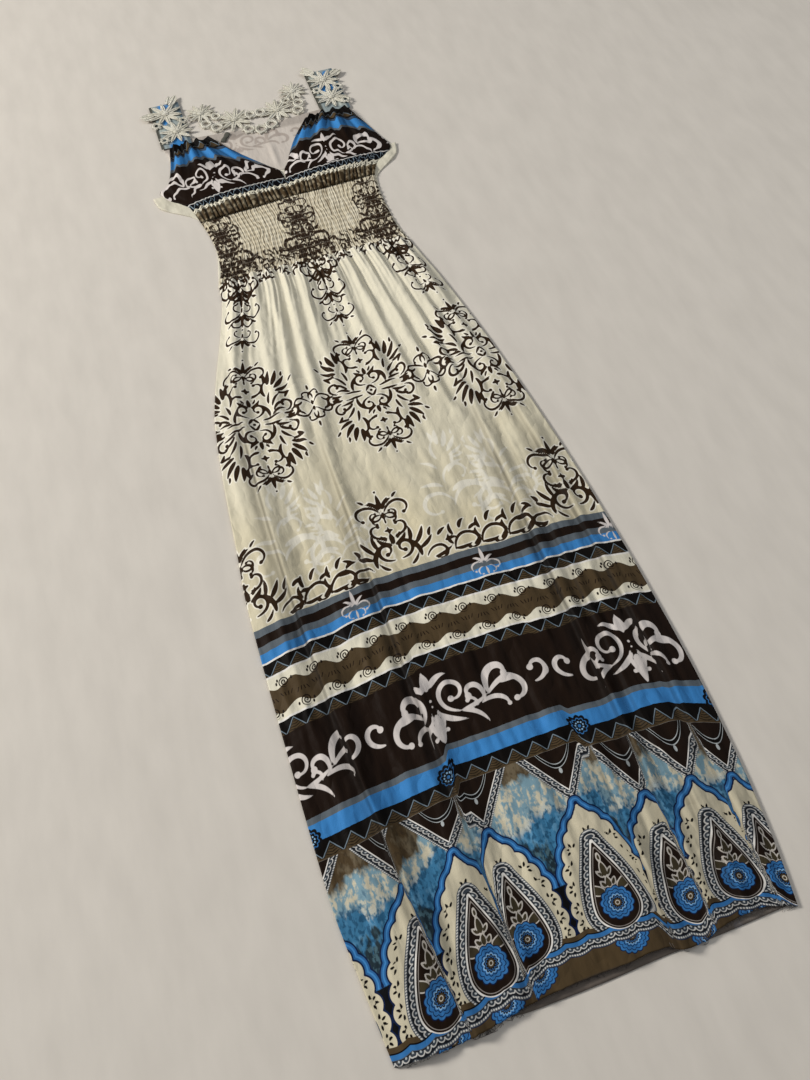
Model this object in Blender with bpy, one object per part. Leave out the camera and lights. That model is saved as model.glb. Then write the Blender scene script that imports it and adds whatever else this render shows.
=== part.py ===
"""A long sleeveless dress laid flat on its back, in metres.

X runs across the dress, +Y from the hem to the shoulders and +Z up from the floor. Heights in the
tables are measured along the dress from its lowest hem point. The panels are thin walls that lie on
each other: the back panels flat on the floor, the front panels above them with their folds.
"""

import math
from collections import namedtuple

import bmesh
import bpy
import numpy as np

# Driving sizes
LENGTH = 1.326
CLOTH = 0.0012
SEAM_GAP = 0.0003
FRONT_LEVEL = CLOTH + SEAM_GAP

# Skirt
SKIRT_TOP = 0.914
SKIRT_LIFT = 0.0010
EDGE_ROLL = 0.022
SKIRT_COLUMNS = 52
SKIRT_ROWS = 18
GATHERS = 26
GATHER_HEIGHT = 0.0028
GATHER_FADE = 0.055

# Smocked waist
RIBS = 90
RIB_HEIGHT = 0.0011
ELASTIC_BANDS = 8
WAIST_WALL = 0.0014
WAIST_INSIDE = (18, 4)

# Cups
CUP_COLUMNS = 36
CUP_ROWS = 10
CUP_RUCHES = 18
RUCHE_HEIGHT = 0.0024
CUP_DOME = 0.0090
CUP_SEAM = 1.0435
CUP_SEAM_SLOPE = 0.050
CUP_SEAM_PEAK = (0.010, 0.0025, 0.030)
STRAP_GATHERS = 4
STRAP_GATHER_HEIGHT = 0.0026

# Folded end of the left neck edge, as x and height of its two ends
NECK_EDGE_START = (-0.0575, 1.1960)
NECK_EDGE_END = (-0.0455, 1.2135)
NECK_EDGE_WIDTH = 0.007

# Back bodice: its neckline is a shallow dip between the straps
NECKLINE = 1.214
NECKLINE_DIP = 0.008
NECKLINE_HALF_WIDTH = 0.12

# Straps and lace
STRAP_MIDDLE = 0.1245
STRAP_WIDTH = 0.046
BACK_STRAP_BASE = 1.2225
STRAP_FLAT_END = 0.04
STRAP_BASE = 1.2083
SHOULDER = 1.312
STRAP_LAYER_GAP = 0.0006
LACE_THICKNESS = 0.0018
PETALS = 10
PETAL_NOTCH = 0.42

Outline = namedtuple("Outline", "height left right")
Fold = namedtuple("Fold", "low_height low_x high_height high_x bow half_width rise")
Edge = namedtuple("Edge", "along x height")
Hem = namedtuple("Hem", "x height")
Flower = namedtuple("Flower", "x height radius turn")
Leaf = namedtuple("Leaf", "x height tip_x tip_height half_width")
Ring = namedtuple("Ring", "x height radius hole")

SKIRT_OUTLINE = [
    Outline(0.000, -0.194, 0.189),
    Outline(0.064, -0.201, 0.199),
    Outline(0.144, -0.208, 0.206),
    Outline(0.244, -0.209, 0.209),
    Outline(0.344, -0.209, 0.207),
    Outline(0.444, -0.208, 0.202),
    Outline(0.524, -0.202, 0.196),
    Outline(0.594, -0.197, 0.189),
    Outline(0.694, -0.186, 0.177),
    Outline(0.754, -0.171, 0.168),
    Outline(0.834, -0.146, 0.154),
    Outline(0.894, -0.131, 0.141),
    Outline(0.914, -0.130, 0.137),
]

WAIST_OUTLINE = [
    Outline(0.914, -0.130, 0.137),
    Outline(0.945, -0.121, 0.131),
    Outline(0.985, -0.118, 0.130),
    Outline(1.020, -0.121, 0.131),
    Outline(1.050, -0.126, 0.134),
]

# The back waist panel is the taller one: its top corners spread out past the cups.
WAIST_BACK_OUTLINE = [
    Outline(0.914, -0.130, 0.137),
    Outline(0.985, -0.118, 0.130),
    Outline(1.044, -0.127, 0.136),
    Outline(1.090, -0.176, 0.182),
    Outline(1.108, -0.180, 0.186),
]

BODICE_BACK_OUTLINE = [
    Outline(1.108, -0.160, 0.168),
    Outline(1.130, -0.148, 0.158),
    Outline(1.180, -0.140, 0.146),
    Outline(1.222, -0.147, 0.148),
]

# The front hem rises off the floor in two places, where the back panel shows below it.
FRONT_HEM = [
    Hem(-0.194, 0.004),
    Hem(-0.150, 0.002),
    Hem(-0.112, 0.004),
    Hem(-0.095, 0.006),
    Hem(-0.070, 0.009),
    Hem(-0.030, 0.011),
    Hem(0.020, 0.010),
    Hem(0.045, 0.011),
    Hem(0.062, 0.010),
    Hem(0.074, 0.004),
    Hem(0.095, 0.003),
    Hem(0.112, 0.008),
    Hem(0.150, 0.011),
    Hem(0.168, 0.008),
    Hem(0.189, 0.000),
]

BACK_HEM = [
    Hem(-0.194, 0.010),
    Hem(-0.100, 0.007),
    Hem(-0.070, 0.004),
    Hem(0.000, 0.003),
    Hem(0.062, 0.004),
    Hem(0.110, 0.003),
    Hem(0.189, 0.004),
]

# Long folds of the lower skirt, and the low swells between them
LONG_FOLDS = [
    Fold(0.000, -0.117, 0.864, -0.123, -0.038, 0.009, 0.0062),
    Fold(0.000, -0.050, 0.644, -0.053, -0.012, 0.009, 0.0056),
    Fold(0.000, 0.104, 0.620, 0.122, 0.004, 0.008, 0.0058),
    Fold(0.120, 0.130, 0.550, 0.138, 0.000, 0.007, 0.0040),
    Fold(0.060, 0.174, 0.600, 0.166, 0.014, 0.008, 0.0046),
    Fold(-0.050, 0.072, 0.200, 0.076, 0.000, 0.008, 0.0056),
    Fold(-0.050, 0.142, 0.160, 0.146, 0.000, 0.008, 0.0050),
    Fold(-0.100, 0.020, 0.600, 0.010, 0.000, 0.030, 0.0024),
    Fold(-0.100, -0.090, 0.500, -0.104, 0.000, 0.016, 0.0022),
    Fold(-0.100, -0.170, 0.640, -0.182, 0.000, 0.014, 0.0028),
]

# Rounded folds that fan out from the waist and fade towards the middle of the skirt
WAIST_FOLDS = [
    Fold(0.600, -0.182, 0.990, -0.104, 0.006, 0.010, 0.0056),
    Fold(0.640, -0.118, 0.990, -0.076, 0.003, 0.009, 0.0066),
    Fold(0.580, -0.096, 0.990, -0.058, 0.003, 0.008, 0.0064),
    Fold(0.600, -0.068, 0.990, -0.038, 0.002, 0.007, 0.0060),
    Fold(0.660, -0.034, 0.990, -0.018, 0.000, 0.007, 0.0048),
    Fold(0.660, 0.032, 0.990, 0.018, 0.000, 0.007, 0.0048),
    Fold(0.620, 0.064, 0.990, 0.034, 0.002, 0.007, 0.0060),
    Fold(0.600, 0.092, 0.990, 0.052, 0.003, 0.008, 0.0064),
    Fold(0.580, 0.120, 0.990, 0.070, 0.004, 0.008, 0.0066),
    Fold(0.580, 0.142, 0.990, 0.090, 0.004, 0.008, 0.0060),
    Fold(0.600, 0.166, 0.990, 0.112, 0.003, 0.008, 0.0052),
]

# Each cup's two side edges, from the waist seam at 0 to the strap at 1
LEFT_CUP_OUTER = [
    Edge(0.00, -0.1260, 1.0365),
    Edge(0.22, -0.1340, 1.0720),
    Edge(0.36, -0.1640, 1.1040),
    Edge(0.44, -0.1680, 1.1180),
    Edge(0.52, -0.1540, 1.1320),
    Edge(0.72, -0.1440, 1.1620),
    Edge(1.00, -0.1360, 1.2080),
]
LEFT_CUP_INNER = [
    Edge(0.00, 0.0098, 1.0465),
    Edge(0.22, 0.0098, 1.0780),
    Edge(0.36, 0.0070, 1.1030),
    Edge(0.44, -0.0060, 1.1190),
    Edge(0.52, -0.0180, 1.1340),
    Edge(0.72, -0.0420, 1.1650),
    Edge(1.00, -0.0700, 1.2080),
]
RIGHT_CUP_INNER = [
    Edge(0.00, 0.0101, 1.0465),
    Edge(0.22, 0.0101, 1.0780),
    Edge(0.36, 0.0130, 1.1040),
    Edge(0.44, 0.0220, 1.1200),
    Edge(0.52, 0.0290, 1.1360),
    Edge(0.72, 0.0460, 1.1680),
    Edge(1.00, 0.0740, 1.2080),
]
RIGHT_CUP_OUTER = [
    Edge(0.00, 0.1340, 1.0500),
    Edge(0.22, 0.1440, 1.0720),
    Edge(0.36, 0.1760, 1.1020),
    Edge(0.44, 0.1740, 1.1140),
    Edge(0.52, 0.1690, 1.1280),
    Edge(0.72, 0.1560, 1.1700),
    Edge(1.00, 0.1440, 1.2080),
]

# Lace trim: daisies, loose leaf tips and the open rings between them
NECK_FLOWERS = [
    Flower(-0.0745, 1.272, 0.0240, 0.50),
    Flower(-0.0290, 1.240, 0.0280, 0.50),
    Flower(0.0380, 1.240, 0.0280, 0.78),
    Flower(0.0725, 1.276, 0.0235, 0.78),
]
NECK_RINGS = [
    Ring(-0.0535, 1.2570, 0.0085, 0.0040),
    Ring(-0.0720, 1.2440, 0.0095, 0.0050),
    Ring(-0.0580, 1.2310, 0.0100, 0.0055),
    Ring(-0.0035, 1.2440, 0.0090, 0.0045),
    Ring(0.0125, 1.2435, 0.0095, 0.0045),
    Ring(-0.0130, 1.2110, 0.0095, 0.0050),
    Ring(0.0045, 1.2050, 0.0105, 0.0055),
    Ring(0.0220, 1.2110, 0.0105, 0.0055),
    Ring(0.0565, 1.2575, 0.0085, 0.0040),
    Ring(0.0740, 1.2460, 0.0095, 0.0050),
    Ring(0.0690, 1.2300, 0.0100, 0.0055),
]
LEFT_FLOWERS = [Flower(-0.126, 1.286, 0.0270, 0.05), Flower(-0.118, 1.240, 0.0260, 0.20)]
LEFT_RINGS = [
    Ring(-0.1440, 1.2620, 0.0075, 0.0038),
    Ring(-0.1030, 1.2630, 0.0070, 0.0035),
    Ring(-0.1390, 1.2250, 0.0070, 0.0035),
]
LEFT_LEAVES = [
    Leaf(-0.126, 1.286, -0.164, 1.290, 0.006),
    Leaf(-0.126, 1.286, -0.102, 1.326, 0.006),
]
RIGHT_FLOWERS = [Flower(0.126, 1.284, 0.0270, 0.15), Flower(0.126, 1.240, 0.0260, 0.00)]
RIGHT_RINGS = [
    Ring(0.1430, 1.2620, 0.0075, 0.0038),
    Ring(0.1090, 1.2620, 0.0070, 0.0035),
    Ring(0.1450, 1.2270, 0.0070, 0.0035),
]
RIGHT_LEAVES = [
    Leaf(0.126, 1.284, 0.160, 1.300, 0.006),
    Leaf(0.126, 1.284, 0.102, 1.326, 0.006),
]

Finish = namedtuple("Finish", "red green blue roughness")
CREAM = Finish(0.68, 0.64, 0.50, 0.55)
PRINT = Finish(0.30, 0.25, 0.20, 0.55)
BROWN = Finish(0.045, 0.025, 0.015, 0.55)
WRONG_SIDE = Finish(0.53, 0.48, 0.42, 0.70)
BLUE = Finish(0.05, 0.25, 0.72, 0.50)
LACE = Finish(0.58, 0.53, 0.40, 0.75)


def clear_scene():
    for thing in list(bpy.data.objects):
        bpy.data.objects.remove(thing, do_unlink=True)


def smooth_step(value):
    value = min(max(value, 0.0), 1.0)
    return value * value * (3.0 - 2.0 * value)


def look_up(rows, key, column, value):
    """One column of a table at a value between its rows, on a smooth curve that never overshoots."""
    keys = [getattr(row, key) for row in rows]
    values = [getattr(row, column) for row in rows]
    if value <= keys[0]:
        return values[0]
    if value >= keys[-1]:
        return values[-1]
    steps = np.diff(values) / np.diff(keys)
    slopes = np.zeros(len(keys))
    for k in range(1, len(keys) - 1):
        if steps[k - 1] * steps[k] > 0:
            slopes[k] = 2 * steps[k - 1] * steps[k] / (steps[k - 1] + steps[k])
    slopes[0], slopes[-1] = steps[0], steps[-1]
    i = int(np.searchsorted(keys, value)) - 1
    step = keys[i + 1] - keys[i]
    t = (value - keys[i]) / step
    start = (1 + 2 * t) * (1 - t) ** 2 * values[i] + t * (1 - t) ** 2 * step * slopes[i]
    end = t * t * (3 - 2 * t) * values[i + 1] + t * t * (t - 1) * step * slopes[i + 1]
    return start + end


def make_material(name, finish):
    material = bpy.data.materials.new(name)
    material.use_nodes = True
    shader = material.node_tree.nodes["Principled BSDF"]
    shader.inputs["Base Color"].default_value = (finish.red, finish.green, finish.blue, 1.0)
    shader.inputs["Roughness"].default_value = finish.roughness
    shader.inputs["Metallic"].default_value = 0.0
    return material


def add_object(name, mesh, finish):
    item = bpy.data.objects.new(name, mesh)
    bpy.context.scene.collection.objects.link(item)
    mesh.materials.append(make_material(name, finish))
    return item


def zip_edges(bm, first, second):
    """Closes the strip between two rows of corners that may have different counts."""
    i = j = 0
    while i < len(first) - 1 or j < len(second) - 1:
        first_next = (i + 1) / (len(first) - 1)
        second_next = (j + 1) / (len(second) - 1)
        if j == len(second) - 1 or (i < len(first) - 1 and first_next <= second_next):
            bm.faces.new((first[i], first[i + 1], second[j]))
            i += 1
        else:
            bm.faces.new((first[i], second[j + 1], second[j]))
            j += 1


def grid_of(bm, points):
    """Faces over rows of points given from the hem end up; rows run from left to right."""
    rows = [[bm.verts.new(point) for point in row] for row in points]
    for low, high in zip(rows, rows[1:]):
        for k in range(len(low) - 1):
            bm.faces.new((low[k], low[k + 1], high[k + 1], high[k]))
    return rows


def add_wall(name, outside, inside, finish):
    """A closed wall between an upper and a lower grid of points, which may differ in count."""
    bm = bmesh.new()
    top = grid_of(bm, outside)
    bottom = grid_of(bm, inside)
    zip_edges(bm, top[0], bottom[0])
    zip_edges(bm, top[-1], bottom[-1])
    zip_edges(bm, [row[0] for row in top], [row[0] for row in bottom])
    zip_edges(bm, [row[-1] for row in top], [row[-1] for row in bottom])
    bmesh.ops.recalc_face_normals(bm, faces=bm.faces)
    mesh = bpy.data.meshes.new(name)
    bm.to_mesh(mesh)
    bm.free()
    mesh.shade_smooth()
    mesh.set_sharp_from_angle(angle=math.radians(50))
    return add_object(name, mesh, finish)


def place(x, height, z):
    return (x, height - LENGTH / 2, z)


def samples(count):
    return [k / count for k in range(count + 1)]


def fold_rise(folds, x, height):
    """How far the folds lift the cloth at a point of the skirt."""
    total = 0.0
    for fold in folds:
        t = (height - fold.low_height) / (fold.high_height - fold.low_height)
        if not 0.0 < t < 1.0:
            continue
        line = fold.low_x + (fold.high_x - fold.low_x) * t + fold.bow * 4 * t * (1 - t)
        fade = smooth_step(5 * t) * smooth_step(5 * (1 - t))
        total += fold.rise * fade * math.exp(-(((x - line) / fold.half_width) ** 2))
    return total


def skirt_point(across, along, hem, z_of):
    """A point of a skirt panel, and its height off the panel's resting level."""
    height = along * SKIRT_TOP
    left = look_up(SKIRT_OUTLINE, "height", "left", height)
    right = look_up(SKIRT_OUTLINE, "height", "right", height)
    x = left + (right - left) * across
    hem_height = look_up(hem, "x", "height", x)
    height = hem_height + (SKIRT_TOP - hem_height) * along
    return place(x, height, z_of(x, height, across, x - left, right - x))


def front_rise(x, height, across, from_left, from_right):
    """Rise of the front skirt above the back one: its folds, and the gathers at the waist."""
    edge = smooth_step(min(from_left, from_right) / EDGE_ROLL)
    rise = edge * (SKIRT_LIFT + fold_rise(LONG_FOLDS + WAIST_FOLDS, x, height))
    wave = 0.5 - 0.5 * math.cos(2 * math.pi * GATHERS * across)
    return rise + GATHER_HEIGHT * wave * math.exp(-(SKIRT_TOP - height) / GATHER_FADE)


def make_skirt_front():
    def outer(x, height, across, from_left, from_right):
        rise = front_rise(x, height, across, from_left, from_right)
        return FRONT_LEVEL + CLOTH + rise

    def inner(x, height, across, from_left, from_right):
        return outer(x, height, across, from_left, from_right) - CLOTH

    def grid(z_of):
        return [
            [skirt_point(across, along, FRONT_HEM, z_of) for across in samples(SKIRT_COLUMNS)]
            for along in samples(SKIRT_ROWS)
        ]

    add_wall("skirt_front", grid(outer), grid(inner), PRINT)


def make_skirt_back():
    def grid(z):
        return [
            [
                skirt_point(across, along, BACK_HEM, lambda *unused: z)
                for across in samples(SKIRT_COLUMNS // 4)
            ]
            for along in samples(SKIRT_ROWS // 2)
        ]

    add_wall("skirt_back", grid(CLOTH), grid(0.0), PRINT)


def waist_top(x):
    """Height of the seam under the cups: low at the left side, highest at the right."""
    peak_x, peak_height, half_width = CUP_SEAM_PEAK
    peak = peak_height * math.exp(-(((x - peak_x) / half_width) ** 2))
    return CUP_SEAM + CUP_SEAM_SLOPE * x + peak


def panel_point(outline, bottom, top_of, across, along, z):
    """A point of a panel between a level bottom edge and a top edge that is a function of x."""
    low = outline[0].height
    high = outline[-1].height
    height = low + (high - low) * along
    left = look_up(outline, "height", "left", height)
    right = look_up(outline, "height", "right", height)
    x = left + (right - left) * across
    return place(x, bottom + (top_of(x) - bottom) * along, z)


def make_waist_front():
    """Smocked panel: fine ribs, drawn in along each row of elastic, over a plain inside."""
    bottom = SKIRT_TOP + SEAM_GAP
    outside = []
    for row, along in enumerate(samples(ELASTIC_BANDS)):
        puff = 0.45 if row % 2 == 0 else 1.0
        line = []
        for column, across in enumerate(samples(2 * RIBS)):
            rib = RIB_HEIGHT * puff * (column % 2)
            z = FRONT_LEVEL + WAIST_WALL + rib
            line.append(panel_point(WAIST_OUTLINE, bottom, waist_top, across, along, z))
        outside.append(line)
    inside = [
        [
            panel_point(WAIST_OUTLINE, bottom, waist_top, across, along, FRONT_LEVEL)
            for across in samples(WAIST_INSIDE[0])
        ]
        for along in samples(WAIST_INSIDE[1])
    ]
    add_wall("waist_front", outside, inside, CREAM)


def make_flat_panel(name, outline, bottom, top, columns, rows, finish):
    def grid(z):
        return [
            [
                panel_point(outline, bottom, top, across, along, z)
                for across in samples(columns)
            ]
            for along in samples(rows)
        ]

    add_wall(name, grid(CLOTH), grid(0.0), finish)


def make_back_panels():
    waist_back_top = WAIST_BACK_OUTLINE[-1].height
    make_flat_panel(
        "waist_back",
        WAIST_BACK_OUTLINE,
        SKIRT_TOP + SEAM_GAP,
        lambda x: waist_back_top,
        8,
        12,
        CREAM,
    )
    make_flat_panel(
        "bodice_back",
        BODICE_BACK_OUTLINE,
        waist_back_top + SEAM_GAP,
        lambda x: NECKLINE + NECKLINE_DIP * smooth_step(abs(x) / NECKLINE_HALF_WIDTH),
        10,
        6,
        WRONG_SIDE,
    )


def cup_rise(across, along, mirror):
    """Fullness of a cup: its dome, the gathers from its strap and the ruches over the waist."""
    side = across if mirror else 1.0 - across
    dome = CUP_DOME * math.sin(math.pi * min(max(across, 0.0), 1.0)) ** 0.8
    dome *= math.sin(math.pi * min(0.12 + 0.80 * along, 1.0)) * (0.8 + 0.2 * side)
    strap = 0.5 - 0.5 * math.cos(2 * math.pi * STRAP_GATHERS * across)
    strap *= STRAP_GATHER_HEIGHT * smooth_step((along - 0.30) / 0.5)
    ruche = 0.5 - 0.5 * math.cos(2 * math.pi * CUP_RUCHES * across)
    ruche *= RUCHE_HEIGHT * (1.0 - smooth_step((along - 0.06) / 0.20))
    return dome + strap + ruche


def make_cup(name, left_edge, right_edge, mirror):
    def point(across, along, z):
        ends = []
        for edge in (left_edge, right_edge):
            x = look_up(edge, "along", "x", along)
            height = look_up(edge, "along", "height", along)
            ends.append((x, height))
        (left_x, left_height), (right_x, right_height) = ends
        x = left_x + (right_x - left_x) * across
        height = left_height + (right_height - left_height) * across
        height = max(height, waist_top(x) + SEAM_GAP)
        return place(x, height, z)

    outside = []
    inside = []
    for along in samples(CUP_ROWS):
        outer_row = []
        inner_row = []
        for across in samples(CUP_COLUMNS):
            z = FRONT_LEVEL + cup_rise(across, along, mirror)
            outer_row.append(point(across, along, z + CLOTH))
            inner_row.append(point(across, along, z))
        outside.append(outer_row)
        inside.append(inner_row)
    add_wall(name, outside, inside, BROWN)


def make_neck_edge():
    """Short folded end of the left neck edge, lying on the back bodice."""
    start = np.array(NECK_EDGE_START)
    end = np.array(NECK_EDGE_END)
    along = (end - start) / np.linalg.norm(end - start)
    aside = np.array((along[1], -along[0])) * NECK_EDGE_WIDTH / 2

    def grid(z):
        return [[place(*(spot - aside), z), place(*(spot + aside), z)] for spot in (start, end)]

    top = FRONT_LEVEL + CLOTH
    add_wall("neck_edge_left", grid(top), grid(FRONT_LEVEL), BLUE)


def make_strap(name, middle):
    """A strap folded over at the shoulder: its back half on the floor, its front half above."""
    half_gap = STRAP_LAYER_GAP / 2
    centre_z = CLOTH + half_gap
    turn = SHOULDER - CLOTH - half_gap
    outer_path = [(BACK_STRAP_BASE, 0.0), (turn - STRAP_FLAT_END, 0.0), (turn, 0.0)]
    inner_path = [(height, CLOTH) for height, z in outer_path]
    for step in range(1, 6):
        angle = -math.pi / 2 + math.pi * step / 6
        outer_path.append(
            (turn + centre_z * math.cos(angle), centre_z + centre_z * math.sin(angle))
        )
        inner_path.append(
            (turn + half_gap * math.cos(angle), centre_z + half_gap * math.sin(angle))
        )
    upper = 2 * centre_z
    for height in (turn, turn - STRAP_FLAT_END, STRAP_BASE):
        outer_path.append((height, upper))
        inner_path.append((height, upper - CLOTH))

    def grid(path):
        return [
            [
                place(middle + (across - 0.5) * STRAP_WIDTH, height, z)
                for across in samples(4)
            ]
            for height, z in path
        ]

    add_wall(name, grid(outer_path), grid(inner_path), BLUE)


def prism(bm, loop, low, high):
    """A flat plate with the given outline."""
    lower = [bm.verts.new(place(x, height, low)) for x, height in loop]
    upper = [bm.verts.new(place(x, height, high)) for x, height in loop]
    bm.faces.new(list(reversed(lower)))
    bm.faces.new(upper)
    for k in range(len(loop)):
        j = (k + 1) % len(loop)
        bm.faces.new((lower[k], lower[j], upper[j], upper[k]))


def flower_loop(flower):
    """Outline of a daisy with pointed petals, three points to a petal."""
    loop = []
    for petal in range(PETALS):
        for part, reach in ((0.0, 1.0), (0.28, 0.74), (0.5, PETAL_NOTCH), (0.72, 0.74)):
            angle = 2 * math.pi * (petal + part + flower.turn) / PETALS + math.pi / 2
            radius = flower.radius * reach
            loop.append(
                (flower.x + radius * math.cos(angle), flower.height + radius * math.sin(angle))
            )
    return loop


def leaf_loop(leaf):
    root = np.array((leaf.x, leaf.height))
    tip = np.array((leaf.tip_x, leaf.tip_height))
    along = tip - root
    aside = np.array((-along[1], along[0])) / np.linalg.norm(along) * leaf.half_width
    return [
        tuple(root),
        tuple(root + along * 0.60 - aside),
        tuple(root + along * 0.85 - aside * 0.55),
        tuple(tip),
        tuple(root + along * 0.85 + aside * 0.55),
        tuple(root + along * 0.60 + aside),
    ]


def add_ring(bm, ring, low, high):
    """A flat open ring of lace cord."""
    count = 10
    loops = []
    for radius, z in ((ring.radius, low), (ring.radius, high), (ring.hole, high), (ring.hole, low)):
        loop = []
        for k in range(count):
            angle = 2 * math.pi * k / count
            spot = place(
                ring.x + radius * math.cos(angle), ring.height + radius * math.sin(angle), z
            )
            loop.append(bm.verts.new(spot))
        loops.append(loop)
    for first, second in zip(loops, loops[1:] + loops[:1]):
        for k in range(count):
            j = (k + 1) % count
            bm.faces.new((first[k], first[j], second[j], second[k]))


def make_lace(name, level, flowers, rings, leaves):
    """Lace trim: each motif is a plate of its own, and they are joined into one piece."""
    motifs = []
    for number, motif in enumerate(flowers + leaves + rings):
        bm = bmesh.new()
        low = level + 0.00002 * (number % 5)
        high = level + LACE_THICKNESS - 0.00003 * (number % 7)
        if isinstance(motif, Flower):
            prism(bm, flower_loop(motif), low, high)
        elif isinstance(motif, Leaf):
            prism(bm, leaf_loop(motif), low, high)
        else:
            add_ring(bm, motif, low, high)
        bmesh.ops.recalc_face_normals(bm, faces=bm.faces)
        mesh = bpy.data.meshes.new(f"{name}_motif_{number}")
        bm.to_mesh(mesh)
        bm.free()
        motifs.append(mesh)
    lace = add_object(name, motifs[0], LACE)
    for number, mesh in enumerate(motifs[1:]):
        guide = bpy.data.objects.new(f"{name}_guide_{number}", mesh)
        bpy.context.scene.collection.objects.link(guide)
        guide.hide_render = True
        guide.display_type = "WIRE"
        join = lace.modifiers.new(f"join_{number}", "BOOLEAN")
        join.operation = "UNION"
        join.solver = "EXACT"
        join.object = guide


def make_dress():
    make_skirt_back()
    make_skirt_front()
    make_back_panels()
    make_waist_front()
    make_cup("cup_left", LEFT_CUP_OUTER, LEFT_CUP_INNER, False)
    make_cup("cup_right", RIGHT_CUP_INNER, RIGHT_CUP_OUTER, True)
    make_neck_edge()
    make_strap("strap_left", -STRAP_MIDDLE)
    make_strap("strap_right", STRAP_MIDDLE)
    strap_top = 2 * CLOTH + STRAP_LAYER_GAP + SEAM_GAP
    make_lace("lace_neck_back", FRONT_LEVEL, NECK_FLOWERS, NECK_RINGS, [])
    make_lace("lace_strap_left", strap_top, LEFT_FLOWERS, LEFT_RINGS, LEFT_LEAVES)
    make_lace("lace_strap_right", strap_top, RIGHT_FLOWERS, RIGHT_RINGS, RIGHT_LEAVES)


clear_scene()
make_dress()
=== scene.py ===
"""Looks of a long sleeveless dress laid flat on a pale floor, in metres.

X runs across the dress, +Y from the hem to the shoulders and +Z up from the floor. Heights are
measured along the dress from its lowest hem point. The print is worked out on the flat cloth in
millimetres: u across it, v up from the hem.
"""

import math
from collections import namedtuple

import bpy
import numpy as np
from mathutils import Matrix, Vector


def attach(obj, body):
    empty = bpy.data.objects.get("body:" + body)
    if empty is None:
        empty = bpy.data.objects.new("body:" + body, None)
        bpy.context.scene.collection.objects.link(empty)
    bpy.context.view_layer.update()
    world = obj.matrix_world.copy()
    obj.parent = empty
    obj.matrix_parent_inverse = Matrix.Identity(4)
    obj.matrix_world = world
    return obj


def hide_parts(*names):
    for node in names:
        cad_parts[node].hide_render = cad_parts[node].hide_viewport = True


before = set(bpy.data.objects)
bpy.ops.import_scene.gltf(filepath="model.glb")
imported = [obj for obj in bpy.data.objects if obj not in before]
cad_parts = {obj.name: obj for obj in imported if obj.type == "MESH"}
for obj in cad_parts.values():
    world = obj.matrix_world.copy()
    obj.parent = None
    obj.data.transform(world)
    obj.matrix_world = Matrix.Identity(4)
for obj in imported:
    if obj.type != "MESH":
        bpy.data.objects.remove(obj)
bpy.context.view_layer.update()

# Sizes shared with the solids
LENGTH = 1.326
HALF_LENGTH = LENGTH / 2
CLOTH = 0.0012
SEAM_GAP = 0.0003
FRONT_LEVEL = CLOTH + SEAM_GAP
SKIRT_TOP = 0.914
SKIRT_LIFT = 0.0010
EDGE_ROLL = 0.016
WAIST_WALL = 0.0014
STRAP_MIDDLE = 0.1245
STRAP_WIDTH = 0.046
BACK_STRAP_BASE = 1.2225
STRAP_BASE = 1.2083
SHOULDER = 1.312
STRAP_LAYER_GAP = 0.0006
PETALS = 10
NECKLINE = 1.214
NECKLINE_DIP = 0.008
NECKLINE_HALF_WIDTH = 0.12
WAIST_BACK_TOP = 1.108
CUP_SEAM = 1.0435
CUP_SEAM_SLOPE = 0.050
CUP_SEAM_PEAK = (0.010, 0.0025, 0.030)
NECK_EDGE_START = (-0.0575, 1.1960)
NECK_EDGE_END = (-0.0455, 1.2135)
NECK_EDGE_WIDTH = 0.007

# Fineness of the cloth
BORDER_TOP = 0.440
COLUMNS = 278
UPPER_ROWS = 318
BORDER_ROWS = 300
GATHERS = 46
RIBS = 92
ELASTIC_ROWS = 14
BACK_ROWS = 300
BACK_COLUMNS = 150
TURNED_ROWS = 14
WAIST_BACK_GRID = (201, 101)
BODICE_BACK_GRID = (181, 81)
CUP_ROWS = 150
CUP_COLUMNS = 190
CUP_PLEATS = 19

Outline = namedtuple("Outline", "height left right")
Fold = namedtuple("Fold", "low_height low_x high_height high_x bow left_width right_width rise")
Edge = namedtuple("Edge", "along x height")
Hem = namedtuple("Hem", "x height")
Flower = namedtuple("Flower", "x height radius turn")
Leaf = namedtuple("Leaf", "x height tip_x tip_height half_width")
Ring = namedtuple("Ring", "x height radius hole")
Crease = namedtuple("Crease", "fold hidden top")
Sag = namedtuple("Sag", "x low stripe upper damask")


def table(kind, *rows):
    return [kind(*row) for row in rows]


SKIRT_OUTLINE = table(
    Outline,
    (0.000, -0.194, 0.189), (0.064, -0.201, 0.199), (0.144, -0.208, 0.206), (0.244, -0.209, 0.209),
    (0.344, -0.209, 0.207), (0.444, -0.208, 0.202), (0.524, -0.202, 0.196), (0.594, -0.197, 0.189),
    (0.694, -0.186, 0.177), (0.754, -0.171, 0.168), (0.834, -0.146, 0.154), (0.894, -0.131, 0.141),
    (0.914, -0.130, 0.137),
)
WAIST_OUTLINE = table(
    Outline,
    (0.914, -0.130, 0.137), (0.945, -0.121, 0.131), (0.985, -0.118, 0.130), (1.020, -0.121, 0.131),
    (1.050, -0.126, 0.134),
)
WAIST_BACK_OUTLINE = table(
    Outline,
    (0.914, -0.130, 0.137), (0.985, -0.118, 0.130), (1.044, -0.127, 0.136), (1.090, -0.176, 0.182),
    (1.108, -0.180, 0.186),
)
BODICE_BACK_OUTLINE = table(
    Outline,
    (1.108, -0.160, 0.168), (1.130, -0.148, 0.158), (1.180, -0.140, 0.146), (1.222, -0.147, 0.148),
)
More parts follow.
